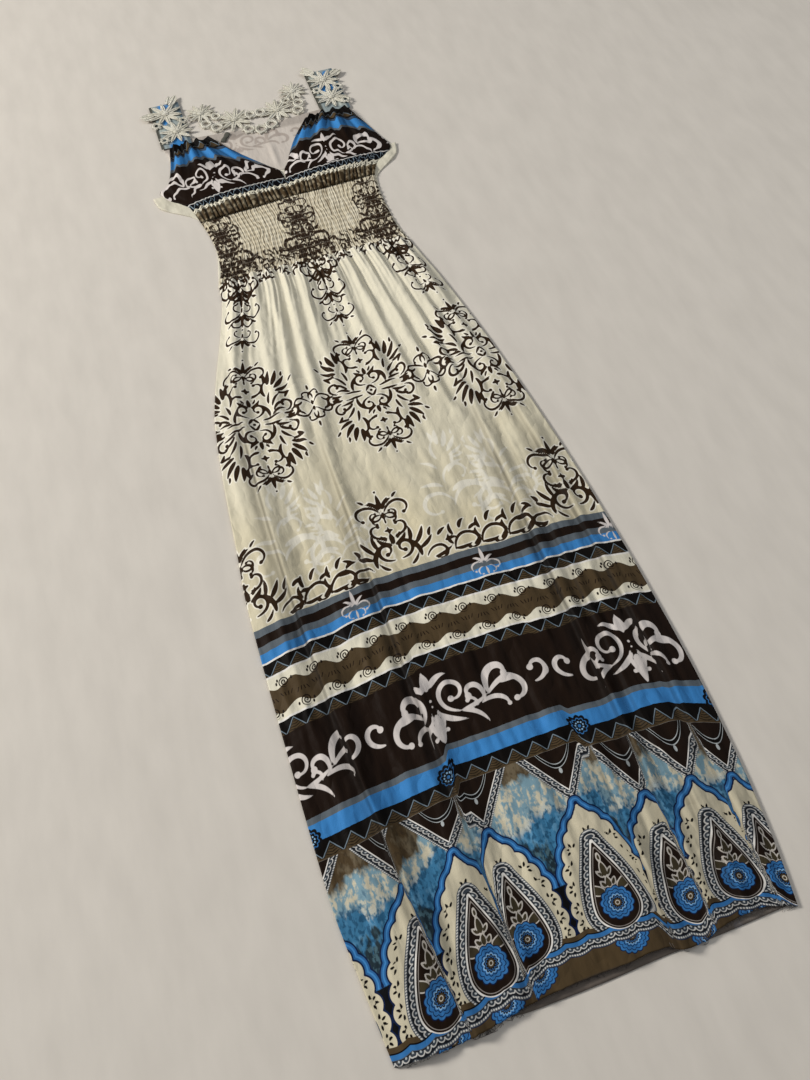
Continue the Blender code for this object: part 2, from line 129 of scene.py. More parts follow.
FRONT_HEM = table(
    Hem,
    (-0.194, 0.004), (-0.150, 0.002), (-0.112, 0.004), (-0.095, 0.006), (-0.070, 0.009),
    (-0.030, 0.011), (0.020, 0.010), (0.045, 0.011), (0.062, 0.010), (0.074, 0.004), (0.095, 0.003),
    (0.112, 0.008), (0.150, 0.011), (0.168, 0.008), (0.189, 0.000),
)
BACK_HEM = table(
    Hem,
    (-0.194, 0.010), (-0.100, 0.007), (-0.070, 0.004), (0.000, 0.003), (0.062, 0.004), (0.110, 0.003),
    (0.189, 0.004),
)

# Long folds of the lower skirt: steep on the side that laps, soft on the other
LONG_FOLDS = table(
    Fold,
    (-0.10, -0.104, 0.864, -0.140, -0.034, 0.004, 0.014, 0.0066),
    (-0.10, -0.056, 0.700, -0.070, -0.006, 0.0035, 0.013, 0.0062),
    (-0.06, 0.113, 0.700, 0.118, 0.000, 0.0035, 0.011, 0.0060),
    (0.060, 0.134, 0.600, 0.140, 0.000, 0.004, 0.009, 0.0040),
    (-0.06, 0.176, 0.700, 0.160, 0.008, 0.0035, 0.010, 0.0054),
    (-0.10, 0.072, 0.230, 0.076, 0.000, 0.0035, 0.010, 0.0056),
    (-0.10, 0.142, 0.180, 0.146, 0.000, 0.0035, 0.009, 0.0050),
    (-0.10, 0.020, 0.600, 0.010, 0.000, 0.026, 0.034, 0.0026),
    (-0.10, -0.090, 0.500, -0.104, 0.000, 0.012, 0.018, 0.0024),
    (-0.10, -0.170, 0.640, -0.182, 0.000, 0.006, 0.016, 0.0034),
    (0.100, -0.020, 0.420, -0.028, 0.000, 0.010, 0.010, 0.0012),
    (0.150, 0.052, 0.480, 0.046, 0.000, 0.009, 0.009, 0.0014),
    (0.020, -0.150, 0.340, -0.146, 0.000, 0.005, 0.009, 0.0022),
    (0.300, 0.086, 0.640, 0.100, 0.000, 0.006, 0.010, 0.0018),
    (0.420, -0.076, 0.720, -0.070, 0.000, 0.005, 0.008, 0.0020),
    (0.360, 0.150, 0.700, 0.150, 0.000, 0.006, 0.008, 0.0022),
)
# A fold whose left side is no wider than this laps over the cloth beside it
LAPPED_WIDTH = 0.0041
# Rounded folds that fan out from the waist and fade towards the middle of the skirt
WAIST_FOLDS = table(
    Fold,
    (0.600, -0.182, 0.990, -0.104, 0.006, 0.008, 0.012, 0.0056),
    (0.640, -0.118, 0.990, -0.076, 0.003, 0.007, 0.011, 0.0064),
    (0.580, -0.096, 0.990, -0.058, 0.003, 0.006, 0.010, 0.0062),
    (0.600, -0.068, 0.990, -0.038, 0.002, 0.005, 0.009, 0.0058),
    (0.660, -0.034, 0.990, -0.018, 0.000, 0.005, 0.009, 0.0046),
    (0.660, 0.032, 0.990, 0.018, 0.000, 0.008, 0.006, 0.0046),
    (0.620, 0.064, 0.990, 0.034, 0.002, 0.008, 0.006, 0.0058),
    (0.600, 0.092, 0.990, 0.052, 0.003, 0.009, 0.006, 0.0062),
    (0.580, 0.120, 0.990, 0.070, 0.004, 0.009, 0.006, 0.0064),
    (0.580, 0.142, 0.990, 0.090, 0.004, 0.009, 0.006, 0.0058),
    (0.600, 0.166, 0.990, 0.112, 0.003, 0.009, 0.006, 0.0050),
)

# Cloth hidden under the lapped folds near the hem, in millimetres: by fold, and negative on the left
CREASES = table(
    Crease,
    (0, -37.0, 420.0), (1, -51.0, 420.0), (5, 23.0, 232.0), (2, 39.0, 420.0), (4, 48.0, 420.0),
)
CREASE_WIDTH = 3.0
CREASE_FOOT = 3.4

# How far the print has slipped down the dress, at four heights of the cloth, in millimetres
SAG_HEIGHTS = (150.0, 210.0, 390.0, 680.0)
SAGS = table(
    Sag,
    (-205, 24, 23, 16, 6), (-172, 22, 19.5, 12, 5), (-140, 17, 16, 8, 4), (-112, 11, 14.5, 4.5, 3.2),
    (-87, 6, 13, 1.5, 2.5), (-66, 9, 12, 0, 1.9), (-60, 1, 1, 0, 1.7), (-5, 0, 0, 0, 0),
    (62, 1, 0, 2, -2.5), (68, 12, 7, 2.2, -3), (101, 18, 9, 3.5, -5), (118, 14, 9.2, 3.3, -6),
    (150, 20, 9.5, 3, -8), (168, 22, 12, 4.5, -9), (175, 27, 17, 5, -9.5), (205, 34, 23, 7, -10),
)

LEFT_CUP_OUTER = table(
    Edge,
    (0.00, -0.1260, 1.0365), (0.22, -0.1340, 1.0720), (0.36, -0.1640, 1.1040), (0.44, -0.1680, 1.1180),
    (0.52, -0.1540, 1.1320), (0.72, -0.1440, 1.1620), (1.00, -0.1360, 1.2080),
)
LEFT_CUP_INNER = table(
    Edge,
    (0.00, 0.0098, 1.0465), (0.22, 0.0098, 1.0780), (0.36, 0.0070, 1.1030), (0.44, -0.0060, 1.1190),
    (0.52, -0.0180, 1.1340), (0.72, -0.0420, 1.1650), (1.00, -0.0700, 1.2080),
)
RIGHT_CUP_INNER = table(
    Edge,
    (0.00, 0.0101, 1.0465), (0.22, 0.0101, 1.0780), (0.36, 0.0130, 1.1040), (0.44, 0.0220, 1.1200),
    (0.52, 0.0290, 1.1360), (0.72, 0.0460, 1.1680), (1.00, 0.0740, 1.2080),
)
RIGHT_CUP_OUTER = table(
    Edge,
    (0.00, 0.1340, 1.0500), (0.22, 0.1440, 1.0720), (0.36, 0.1760, 1.1020), (0.44, 0.1740, 1.1140),
    (0.52, 0.1690, 1.1280), (0.72, 0.1560, 1.1700), (1.00, 0.1440, 1.2080),
)

NECK_FLOWERS = table(
    Flower,
    (-0.0745, 1.272, 0.0240, 0.50), (-0.0290, 1.240, 0.0280, 0.50), (0.0380, 1.240, 0.0280, 0.78),
    (0.0725, 1.276, 0.0235, 0.78),
)
NECK_RINGS = table(
    Ring,
    (-0.0535, 1.2570, 0.0085, 0.0040), (-0.0720, 1.2440, 0.0095, 0.0050),
    (-0.0580, 1.2310, 0.0100, 0.0055), (-0.0035, 1.2440, 0.0090, 0.0045),
    (0.0125, 1.2435, 0.0095, 0.0045), (-0.0130, 1.2110, 0.0095, 0.0050),
    (0.0045, 1.2050, 0.0105, 0.0055), (0.0220, 1.2110, 0.0105, 0.0055),
    (0.0565, 1.2575, 0.0085, 0.0040), (0.0740, 1.2460, 0.0095, 0.0050),
    (0.0690, 1.2300, 0.0100, 0.0055),
)
LEFT_FLOWERS = [Flower(-0.126, 1.286, 0.0270, 0.05), Flower(-0.118, 1.240, 0.0260, 0.20)]
LEFT_RINGS = table(
    Ring,
    (-0.1440, 1.2620, 0.0075, 0.0038), (-0.1030, 1.2630, 0.0070, 0.0035),
    (-0.1390, 1.2250, 0.0070, 0.0035),
)
LEFT_LEAVES = table(
    Leaf,
    (-0.126, 1.286, -0.164, 1.290, 0.006), (-0.126, 1.286, -0.102, 1.326, 0.006),
)
RIGHT_FLOWERS = [Flower(0.126, 1.284, 0.0270, 0.15), Flower(0.126, 1.240, 0.0260, 0.00)]
RIGHT_RINGS = table(
    Ring,
    (0.1430, 1.2620, 0.0075, 0.0038), (0.1090, 1.2620, 0.0070, 0.0035),
    (0.1450, 1.2270, 0.0070, 0.0035),
)
RIGHT_LEAVES = table(
    Leaf,
    (0.126, 1.284, 0.160, 1.300, 0.006), (0.126, 1.284, 0.102, 1.326, 0.006),
)

# Colours of the cloth, as they look on a screen
CREAM = "DDD7C2"
BEIGE = "CBC1A3"
GHOST = "E9E5D8"
BROWN = "1B1009"
INK = "2E1F10"
DARK = "080504"
BLUE = "3B80BE"
MARBLE = "3B7397"
PALE_BLUE = "7FA3B2"
GREY = "5C646A"
TAUPE = "4A3C28"
NAVY = "06070B"
SCROLL = "D4CCC6"
WHITE = "E4E0D8"
WRONG = "CCC2B6"
LACE = "E6E2D2"
EDGING = "8A9BA6"
FLOWER = "346FA8"
ARCH_BLUE = "2C6298"
NAVY_LINE = "0B1B3D"
PALE_BEAD = "8FB9DA"
SAND = "C9C0A6"
LOOPS = "AFB4B3"


# Curves and noise
NOISE_COLUMNS = 97
NOISE_ROWS = 89


def smooth_step(value):
    value = np.clip(value, 0.0, 1.0)
    return value * value * (3.0 - 2.0 * value)


def bell(value, width):
    return np.exp(-((value / width) ** 2))


def curve(rows, key, column):
    """A smooth curve through one column of a table, which never overshoots."""
    keys = np.array([getattr(row, key) for row in rows], float)
    values = np.array([getattr(row, column) for row in rows], float)
    steps = np.diff(values) / np.diff(keys)
    slopes = np.zeros(len(keys))
    for k in range(1, len(keys) - 1):
        if steps[k - 1] * steps[k] > 0:
            slopes[k] = 2 * steps[k - 1] * steps[k] / (steps[k - 1] + steps[k])
    slopes[0], slopes[-1] = steps[0], steps[-1]

    def at(value):
        value = np.clip(value, keys[0], keys[-1])
        i = np.clip(np.searchsorted(keys, value) - 1, 0, len(keys) - 2)
        step = keys[i + 1] - keys[i]
        t = (value - keys[i]) / step
        start = (1 + 2 * t) * (1 - t) ** 2 * values[i] + t * (1 - t) ** 2 * step * slopes[i]
        end = t * t * (3 - 2 * t) * values[i + 1] + t * t * (t - 1) * step * slopes[i + 1]
        return start + end

    return at


def noise(x, y, cell_x, cell_y, seed):
    """Smooth bumps between -1 and 1, one to each cell."""
    draws = np.random.default_rng(seed).uniform(-1, 1, (NOISE_COLUMNS, NOISE_ROWS))
    px, py = np.asarray(x) / cell_x + 31.7, np.asarray(y) / cell_y + 17.3
    i, j = np.floor(px).astype(int), np.floor(py).astype(int)
    tx, ty = smooth_step(px - i), smooth_step(py - j)

    def corner(a, b):
        return draws[(i + a) % NOISE_COLUMNS, (j + b) % NOISE_ROWS]

    low = corner(0, 0) * (1 - tx) + corner(1, 0) * tx
    high = corner(0, 1) * (1 - tx) + corner(1, 1) * tx
    return low * (1 - ty) + high * ty


# Printed strokes: every motif is a list of round dabs (x, y, radius) along curved strokes
CELL = 0.6
FAR = 5.0


def stroke(x, y, heading, length, turn, tighten=0.0):
    """Points along a curved stroke that turns by so many degrees in all, tighter to its end."""
    count = max(8, int(length / 0.8))
    t = (np.arange(count) + 0.5) / count
    angle = np.radians(heading + turn * (t + tighten * (t * t - t)))
    step = length / count
    return x + np.cumsum(np.cos(angle)) * step, y + np.cumsum(np.sin(angle)) * step, t


def leaf(x, y, heading, length, turn, width):
    """A pointed leaf, fullest below its middle."""
    px, py, t = stroke(x, y, heading, length, turn)
    return np.stack([px, py, width / 2 * np.sin(np.pi * t**0.7) ** 0.8 + 0.2], 1)


def curl(x, y, heading, length, turn, width, tighten=0.75, bulb=1.25):
    """A scroll: thin at its root, full along its back, wound up into a round end."""
    px, py, t = stroke(x, y, heading, length, turn, tighten)
    radius = width / 2 * (0.35 + 0.65 * np.sin(np.pi * t) ** 0.7)
    end = np.array([[px[-1], py[-1], width / 2 * bulb]])
    return np.concatenate([np.stack([px, py, radius], 1), end])


def dot(x, y, radius):
    return np.array([[x, y, radius]])


def flip_x(dabs):
    return dabs * np.array([-1, 1, 1])


def flip_y(dabs):
    return dabs * np.array([1, -1, 1])


def moved(dabs, dx, dy, scale=1.0):
    return dabs * scale + np.array([dx, dy, 0])


def mirrored(parts):
    return np.concatenate([side for part in parts for side in (part, flip_x(part))])


class Tile:
    """Distance in millimetres to printed shapes that repeat across the cloth."""

    def __init__(self, period, low, high, far=FAR):
        self.period = period
        self.columns = int(round(period / CELL))
        self.cell = period / self.columns
        self.low = low
        self.rows = int((high - low) / CELL) + 2
        self.far = far
        self.values = np.full((self.rows, self.columns), far, np.float32)

    def draw(self, dabs):
        for x, y, r in dabs:
            reach = r + self.far
            columns = np.arange(int((x - reach) / self.cell) - 1, int((x + reach) / self.cell) + 2)
            first = max(int((y - reach - self.low) / CELL), 0)
            last = min(int((y + reach - self.low) / CELL) + 2, self.rows)
            if first >= last:
                continue
            across = columns * self.cell - x
            up = self.low + np.arange(first, last) * CELL - y
            away = np.hypot(across[None, :], up[:, None]) - r
            wrapped = columns % self.columns
            self.values[first:last, wrapped] = np.minimum(self.values[first:last, wrapped], away)

    def at(self, u, v):
        pu = np.mod(u, self.period) / self.cell
        pv = np.clip((v - self.low) / CELL, 0, self.rows - 1.001)
        i, j = pu.astype(int), pv.astype(int)
        tu, tv = pu - i, pv - j
        i %= self.columns
        k = (i + 1) % self.columns
        low = self.values[j, i] * (1 - tu) + self.values[j, k] * tu
        high = self.values[j + 1, i] * (1 - tu) + self.values[j + 1, k] * tu
        outside = (v < self.low) | (v > self.low + (self.rows - 1.001) * CELL)
        return np.where(outside, self.far, low * (1 - tv) + high * tv)


def leaves(*rows):
    return [leaf(*row) for row in rows]


def curls(*rows):
    return [curl(*row) for row in rows]


def moved_all(parts, dx, dy, size=1.0):
    return [moved(part, dx, dy, size) for part in parts]


def doubled(upper):
    """A motif with its own mirror image below it."""
    return np.concatenate([upper, flip_y(upper)])


# A pair of joined spirals over a diamond, with a crown of three leaves on top
VOLUTES = curls((2.6, 9.6, 0, 43, 360, 3.6, 0.7)) + leaves(
    (20.5, 6, 78, 27, 80, 4.2), (0, 25.5, 90, 11, 0, 5.0),
    (1.5, 24.5, 12, 16, 52, 4.2), (4.5, 30, 40, 8, 30, 2.6),
)
# The leafy plume that stands at each corner of a medallion
TUFT = leaves(
    (23, 35, 125, 27, -85, 4.2), (24, 55, 75, 17, 40, 4.6), (29, 51, 92, 20, -20, 6.0),
    (33, 47, 58, 22, 22, 6.2), (35, 41, 38, 23, 25, 5.6), (35, 36, 12, 21, 30, 4.6),
    (38, 33, -8, 14, 40, 3.4), (47, 58, 95, 8, -30, 3.0), (54, 47, 60, 8, -30, 3.0),
)
# Curled brackets and a star between the tufts, with the lyre above them
LYRE = curls((1.6, 73, -85, 32, 300, 3.0, 0.5, 1.2))
BRACKET = LYRE + curls((5.5, 42, -12, 34, 230, 3.6, 0.6)) + leaves(
    (4, 39, 8, 15, 30, 3.0), (0, 44, 90, 9.5, 0, 3.4), (0, 48.8, 0, 5, 0, 3.0), (0, 58, 90, 8, 0, 2.4),
)
# The middle of the large damask rosette: one quarter, about its centre
QUARTER = curls((40, 7, 8, 34, 290, 3.5, 0.6)) + [dot(0, 0, 2.1)] + leaves(
    (0, 8.8, -52, 11, 0, 3.2), (10.5, 3.2, 8, 25, -8, 3.0), (24, 7, 30, 19, -40, 3.4),
    (27, 11, 52, 20, -48, 3.6), (27, 17, 68, 20, -40, 3.6), (24, 23, 88, 18, -28, 3.4),
    (37, 2.6, 12, 13, -22, 3.0), (45, 26, 72, 12, -50, 3.2), (55, 5, 10, 9, 50, 3.0),
    (41, 0, 0, 9, 0, 3.4),
)
MEDALLION = doubled(mirrored(QUARTER + VOLUTES + TUFT + BRACKET))
# The rosette that stands on the border: wide below, narrow above
SPREAD = curls((31, 5, 62, 48, -300, 3.6, 0.62)) + leaves(
    (19, 30, 66, 19, 30, 4.8), (24, 25, 40, 22, 30, 5.2), (27, 18, 14, 20, 40, 4.8),
    (40, 28, 84, 12, -40, 3.8), (49, 25, 52, 14, -40, 4.2), (55, 16, 24, 15, -40, 4.0),
    (38, 2, -4, 24, 40, 4.0), (12, 2, 20, 16, 50, 3.6),
)
HALF_MEDALLION = mirrored(moved_all(VOLUTES, 0, 0, 1.25) + moved_all(BRACKET, 0, 1) + SPREAD)
# An upright spray: hooked arms, horns and a bud on the stem where they part
SPRAY = mirrored(
    curls((1.8, -8, 58, 42, -222, 3.4), (1.6, -10, 20, 20, -190, 2.8, 0.6, 1.2))
    + leaves((1.5, -4, 68, 15, -30, 3.8), (0, -3, 90, 17, 0, 4.6), (5, 1, 50, 10, -40, 3.0))
    + leaves((0, -16, 90, 9, 0, 3.0), (15, 6, 60, 8, -40, 2.8))
    + [dot(0, 17, 1.5)]
)
# The open knot of curls that links two medallions
SIDE_KNOT = doubled(
    mirrored(
        curls((2, 4, 62, 34, -215, 3.2), (1.5, 10, 70, 26, 225, 3.0, 0.6, 1.2))
        + leaves((16, 3, 40, 13, -60, 3.2), (24, 2, 20, 9, -30, 2.8))
        + leaves((0, 1, 90, 8, 0, 3.2), (0, 26, 90, 9, 0, 3.0))
    )
)
# One leafy scroll of the edging along the lower side of the damask
LEAFY_CURL = np.concatenate(
    curls((-9, 0, 84, 56, -300, 3.4, 0.6))
    + leaves((-9, 7, 132, 12, -70, 3.4), (-6, 16, 118, 13, -60, 3.6), (2, 21, 84, 13, -60, 3.6))
    + leaves((10, 18, 46, 12, -60, 3.4), (-9, 2, -14, 18, 40, 3.4), (9, 1, 20, 13, 50, 3.4))
)
# Scrolls of the brown band: an upright palmette, and a leafy branch to each side of it
PALMETTE = curls((27, -13, 166, 80, -372, 5.6, 0.62), (3, -3, -60, 34, -150, 4.2, 0.7, 1.2)) + leaves(
    (0, 16, 90, 22, 0, 6.4), (2.5, 18, 75, 18, 40, 4.2), (4, 19, 62, 24, -75, 6.4),
    (0, -9, -90, 30, 0, 11.0), (2.5, -6, -52, 34, 45, 6.0),
)
PALMETTE_DOTS = [dot(0, 6, 1.9), dot(0, 0, 1.6), dot(9.5, 8, 1.8)]
BRANCH_LEAVES = leaves(
    (26, -13, -6, 34, -70, 5.0), (26, -12.5, 0, 34, 30, 4.4), (72, 2, -4, 18, -8, 3.4),
)
BRANCH = BRANCH_LEAVES + curls(
    (43, -14, 72, 17, 160, 3.8, 0.6, 1.3), (52, -10, 74, 37, 228, 6.0, 0.72),
    (58, -3, 90, 47, -205, 8.4, 0.95, 0.9), (58, -5, 44, 66, -232, 7.2, 0.75, 0.95),
    (48, -12, 20, 34, -112, 5.6, 0.8, 0.95), (107, -9, 0, 44, 262, 6.0, 0.6, 1.2),
)
SCROLLS = mirrored(PALMETTE + PALMETTE_DOTS + BRANCH)
# A light sprig over the grey, brown and blue stripes
SPRIG = mirrored(
    curls((1, -5, 44, 25, -215, 2.8, 0.7, 1.2), (1, -8, 8, 17, -200, 2.4, 0.7, 1.2))
    + leaves((0, -2, 90, 19, 0, 4.4), (1, -3, 62, 15, -50, 3.4), (0, -19, 90, 12, 0, 2.8))
)
# Pale scrolling leaves, tone on tone, above the border
PLUME = np.concatenate(
    curls((0, 0, 75, 96, -300, 7, 0.5, 1.0), (2, 4, 110, 74, 280, 6, 0.5, 1.0))
    + curls((0, 30, 95, 60, -250, 5, 0.6, 1.0))
    + leaves((3, 18, 40, 34, -60, 7), (-4, 26, 140, 30, 60, 6), (8, 44, 60, 28, -70, 6))
    + leaves((18, 50, 100, 24, -60, 5), (-2, 52, 120, 26, 50, 5), (30, 34, 20, 24, -80, 5))
    + moved_all(TUFT, -24, 24, 1.15)
)
# A pair of leaves and a stacked bud standing on the flower in each teardrop
BUD = mirrored(
    leaves((7, 13, 10, 17, 50, 8.0), (0, 15, 90, 9, 0, 5.0), (3, 16, 55, 7, 0, 3.6))
    + leaves((0, 25, 90, 13, 0, 6.0), (2, 25, 50, 8, 0, 3.0), (0, 39, 90, 7, 0, 3.0))
)


def sprinkle(tile, low, high, step, seed):
    """Loose leaves and commas, spread over a level band."""
    rng = np.random.default_rng(seed)
    for v in np.arange(low, high, step):
        for u in np.arange(0, tile.period, step):
            heading = rng.uniform(0, 360)
            bend = rng.uniform(-150, 150)
            spot = rng.uniform(-0.35, 0.35, 2) * step
            tile.draw(leaf(u + spot[0], v + spot[1], heading, rng.uniform(9, 15), bend, 3.4))


def tiled(period, low, high, far, *placed):
    """A tile with motifs on it: each row has a motif, its place across and up, and its size."""
    tile = Tile(period, low, high, far)
    for motif, across, height, size in placed:
        tile.draw(moved(motif, across, height, size))
    return tile


DAMASK_REPEAT = 148.0
WAIST_REPEAT = 109.0
DAMASK_CENTRE = 7.0
SCROLL_REPEAT = 255.0
SCROLL_CENTRE = -59.0
SCROLL_MIDDLE = 281.0
WAVE_REPEAT = 33.5
ARCH_REPEAT = 88.0
ARCH_CENTRE = 36.0


def make_damask():
    """The damask above the border: medallions, sprays and columns."""
    hanging = flip_y(SPRAY)
    spirals = mirrored(VOLUTES)
    placed = [(MEDALLION, 0, 679, 1.0), (SIDE_KNOT, DAMASK_REPEAT / 2, 680, 1.0)]
    placed += [(mirrored(LYRE), 0, 766, 1.0), (hanging, 0, 599, 1.0), (hanging, 0, 806, 0.95)]
    placed += [(hanging, 0, v, size) for v, size in ((846, 1.1), (888, 1.3), (1000, 1.3))]
    placed += [(SPRAY, 0, v, size) for v, size in ((759, 1.0), (962, 1.6), (1004, 1.2), (1036, 1.0))]
    placed += [(SPRAY, u, 944, 0.9) for u in (-34, 34)]
    for v in (900, 962):
        placed += [(spirals, 0, v, 1.0), (flip_y(spirals), 0, v + 2, 1.0)]
    placed = [(motif, DAMASK_CENTRE + u, v, size) for motif, u, v, size in placed]
    tile = tiled(DAMASK_REPEAT, 548, 1062, FAR, *placed)
    sprinkle(tile, 902, 950, 8.5, 5)
    return tile


def make_damask_edge():
    """The lower side of the damask: half medallions that stand on the border, and leafy curls."""
    placed = []
    for u in (-205.0, -36.0, 175.0):
        placed += [(HALF_MEDALLION, u, 436, 1.0), (SPRAY, u, 519, 1.15)]
    placed += [(LEAFY_CURL, u, 437, 1.2) for u in (-138, -107, 37, 69, 101)]
    return tiled(800.0, 425, 600, FAR, *placed)


def arch_lobes():
    """Dabs whose union is the light field under an arch: a point, scallops and a wide foot."""
    rows = [(0, 149, 0.5), (0, 146, 1.6), (0, 142.5, 3.4), (0, 138.5, 6.0), (0, 133, 9.5)]
    flank = [(7, 128, 9.5), (15.5, 118, 9.5), (22.5, 105.5, 9.6), (27.5, 91.5, 9.8)]
    flank += [(30.5, 76.5, 10.0), (32, 61, 10.4), (33, 45, 9.4)]
    rows += flank + [(-x, y, r) for x, y, r in flank]
    for y in range(40, 128, 5):
        half = float(np.interp(y, (40, 94, 126), (29, 24, 8)))
        rows += [(x, y, 5.5) for x in np.arange(-half, half + 0.1, 6)]
    return np.array(rows, float)


def teardrop():
    t = np.linspace(0, 1, 48)
    return np.stack([0 * t, 60 * t, 20.5 * (1 - t**1.5) ** 1.15 + 0.3], 1)


def arch_sprays():
    """Small dark sprays of four strokes, one to each scallop and one above each teardrop."""
    marks = []
    sprays = [(0, 122, 90), (20, 112, 50), (27, 97, 30), (31, 80, 15), (33, 63, 0), (33.5, 48, -15)]
    for x, y, aim in sprays:
        for lean in (-80, -28, 28, 80):
            angle = math.radians(aim + lean)
            mark = leaf(2.4 * math.cos(angle), 2.4 * math.sin(angle), aim + lean, 4.6, 0, 1.9)
            marks.append(moved(mark, x, y - 1))
    return mirrored(marks)


damask_upper = make_damask()
damask_lower = make_damask_edge()
scroll_band = tiled(SCROLL_REPEAT, 232, 330, FAR, (SCROLLS, SCROLL_CENTRE, SCROLL_MIDDLE, 1.0))
sprigs = tiled(150.0, 396, 440, FAR, (SPRIG, 50, 417, 1.0))
ghost_rows = [(PLUME, 46, 492, 1.0), (PLUME, -66, 452, 0.6)]
ghost_rows += [(flip_x(PLUME), 108, 470, 0.8), (flip_x(PLUME), -86, 484, 0.9)]
ghosts = tiled(200.0, 430, 640, 6.0, *ghost_rows)
arches = tiled(ARCH_REPEAT, 20, 190, 12.0, (arch_lobes(), ARCH_CENTRE, 0, 1.0))
tears = tiled(ARCH_REPEAT, 14, 150, 12.0, (teardrop(), ARCH_CENTRE, 53, 1.0))
arch_marks = tiled(ARCH_REPEAT, 24, 154, 4.0, (arch_sprays(), ARCH_CENTRE, 0, 1.0))
buds = tiled(ARCH_REPEAT, 44, 112, 4.0, (BUD, ARCH_CENTRE, 56, 1.0))


def print_fields(u, v, arch_u):
    """Everything that the skirt's print needs at points of the flat cloth."""
    return {
        "print_u": u,
        "print_v": v,
        "arch_u": arch_u,
        "damask": np.minimum(damask_upper.at(u, v), damask_lower.at(u, v)),
        "white": np.minimum(scroll_band.at(arch_u, v), sprigs.at(u, v)),
        "ghost": ghosts.at(u, v),
        "arch": arches.at(arch_u, v),
        "tear": tears.at(arch_u, v),
        "mark": arch_marks.at(arch_u, v),
        "bud": buds.at(arch_u, v),
    }


# Where the print lies on the dress
def sag(x, height):
    columns = [np.interp(x, [row.x for row in SAGS], [row[k] for row in SAGS]) for k in range(1, 5)]
    out = np.where(height <= SAG_HEIGHTS[0], columns[0], columns[3])
    for k in range(3):
        low, high = SAG_HEIGHTS[k], SAG_HEIGHTS[k + 1]
        t = (height - low) / (high - low)
        inside = (t > 0) & (t <= 1)
        out = np.where(inside, columns[k] * (1 - t) + columns[k + 1] * t, out)
    return out


def fold_line(fold, height):
    """Place across of a fold at each height, and how far along the fold that is."""
    t = (height - fold.low_height) / (fold.high_height - fold.low_height)
    return fold.low_x + (fold.high_x - fold.low_x) * t + fold.bow * 4 * t * (1 - t), t


def front_print(x, height):
    """Flat-cloth place of the print at a point of the front skirt, all in millimetres.

    The arches and the scrolls have their own place across, with the cloth that the creases hide.
    """
    lifted = front_hem(x / 1000) * 1000 * (1 - smooth_step(height / 75)) * smooth_step((x + 75) / 30)
    v = height + sag(x, height) - lifted + 0.8 * noise(x, height, 22, 40, 11)
    drawn_in = smooth_step((height - 700) / 214)
    spacing = DAMASK_REPEAT + (WAIST_REPEAT - DAMASK_REPEAT) * drawn_in
    middle = DAMASK_CENTRE - 3 * drawn_in
    u = DAMASK_CENTRE + (x - middle) * DAMASK_REPEAT / spacing + 0.7 * noise(x, height, 30, 30, 12)
    arch_u = u
    for crease in CREASES:
        foot = fold_line(LONG_FOLDS[crease.fold], height / 1000)[0] * 1000 - CREASE_FOOT
        side = math.copysign(1.0, crease.hidden)
        hidden = crease.hidden * smooth_step((crease.top - height) / 20.0)
        arch_u = arch_u + hidden * smooth_step(side * (x - foot) / CREASE_WIDTH + 0.5)
    return u, v, arch_u


def crease_shade(x, height):
    """Painted shade in the foot of a lapped fold and on the slope beside it: how deep a point lies
    there, from 0 to 1; in millimetres.
    """
    shade = np.zeros(np.shape(x))
    for fold in LONG_FOLDS:
        if fold.left_width > LAPPED_WIDTH:
            continue
        line, t = fold_line(fold, height / 1000)
        fade = smooth_step(5 * t) * smooth_step(4 * (1 - t)) * min(fold.rise / 0.006, 1.0)
        fade = fade * (0.75 + 0.25 * noise(x, height, 900, 45, 13))
        away = x - line * 1000 + CREASE_FOOT
        foot = bell(away, 2.4)
        # A wider, fainter painted shade on the slope beside the foot
        beside = 0.56 * bell(away + 5.0, 8.0)
        shade = np.maximum(shade, fade * np.maximum(foot, beside))
    return shade


# Building cloth
def place(x, height, z):
    return x, height - HALF_LENGTH, z


def plan(rows, columns, low=0.0, high=1.0):
    """Shares across and along a grid of points."""
    across = np.linspace(low, high, columns)[None, :] + np.zeros((rows, 1))
    along = np.linspace(low, high, rows)[:, None] + np.zeros((1, columns))
    return across, along


def join_mesh(name, points, faces):
    mesh = bpy.data.meshes.new(name)
    mesh.from_pydata([tuple(p) for p in points], [], [tuple(f) for f in faces])
    mesh.update()
    mesh.shade_smooth()
    thing = bpy.data.objects.new(name, mesh)
    bpy.context.scene.collection.objects.link(thing)
    return thing


def make_grid(name, x, y, z, fields=None, flip=False):
    """A smooth sheet over rows and columns of points, with numbers for its material."""
    rows, columns = x.shape
    points = np.stack([x, y, z], -1).reshape(-1, 3).astype(np.float32)
    index = np.arange(rows * columns).reshape(rows, columns)
    corners = [index[:-1, :-1], index[:-1, 1:], index[1:, 1:], index[1:, :-1]]
    if flip:
        corners.reverse()
    quads = np.stack(corners, -1).reshape(-1, 4)
    mesh = bpy.data.meshes.new(name)
    mesh.vertices.add(len(points))
    mesh.vertices.foreach_set("co", points.ravel())
    mesh.loops.add(quads.size)
    mesh.loops.foreach_set("vertex_index", quads.ravel())
    mesh.polygons.add(len(quads))
    mesh.polygons.foreach_set("loop_start", np.arange(0, quads.size, 4))
    mesh.update(calc_edges=True)
    mesh.shade_smooth()
    for field, values in (fields or {}).items():
        layer = mesh.attributes.new(field, "FLOAT", "POINT")
        layer.data.foreach_set("value", np.broadcast_to(values, x.shape).ravel().astype(np.float32))
    spread = np.stack(plan(rows, columns, 0.01, 0.99), -1).reshape(-1, 2)[quads.ravel()]
    layer = mesh.uv_layers.new(name="OFBake")
    layer.data.foreach_set("uv", spread.ravel().astype(np.float32))
    thing = bpy.data.objects.new(name, mesh)
    bpy.context.scene.collection.objects.link(thing)
    return thing


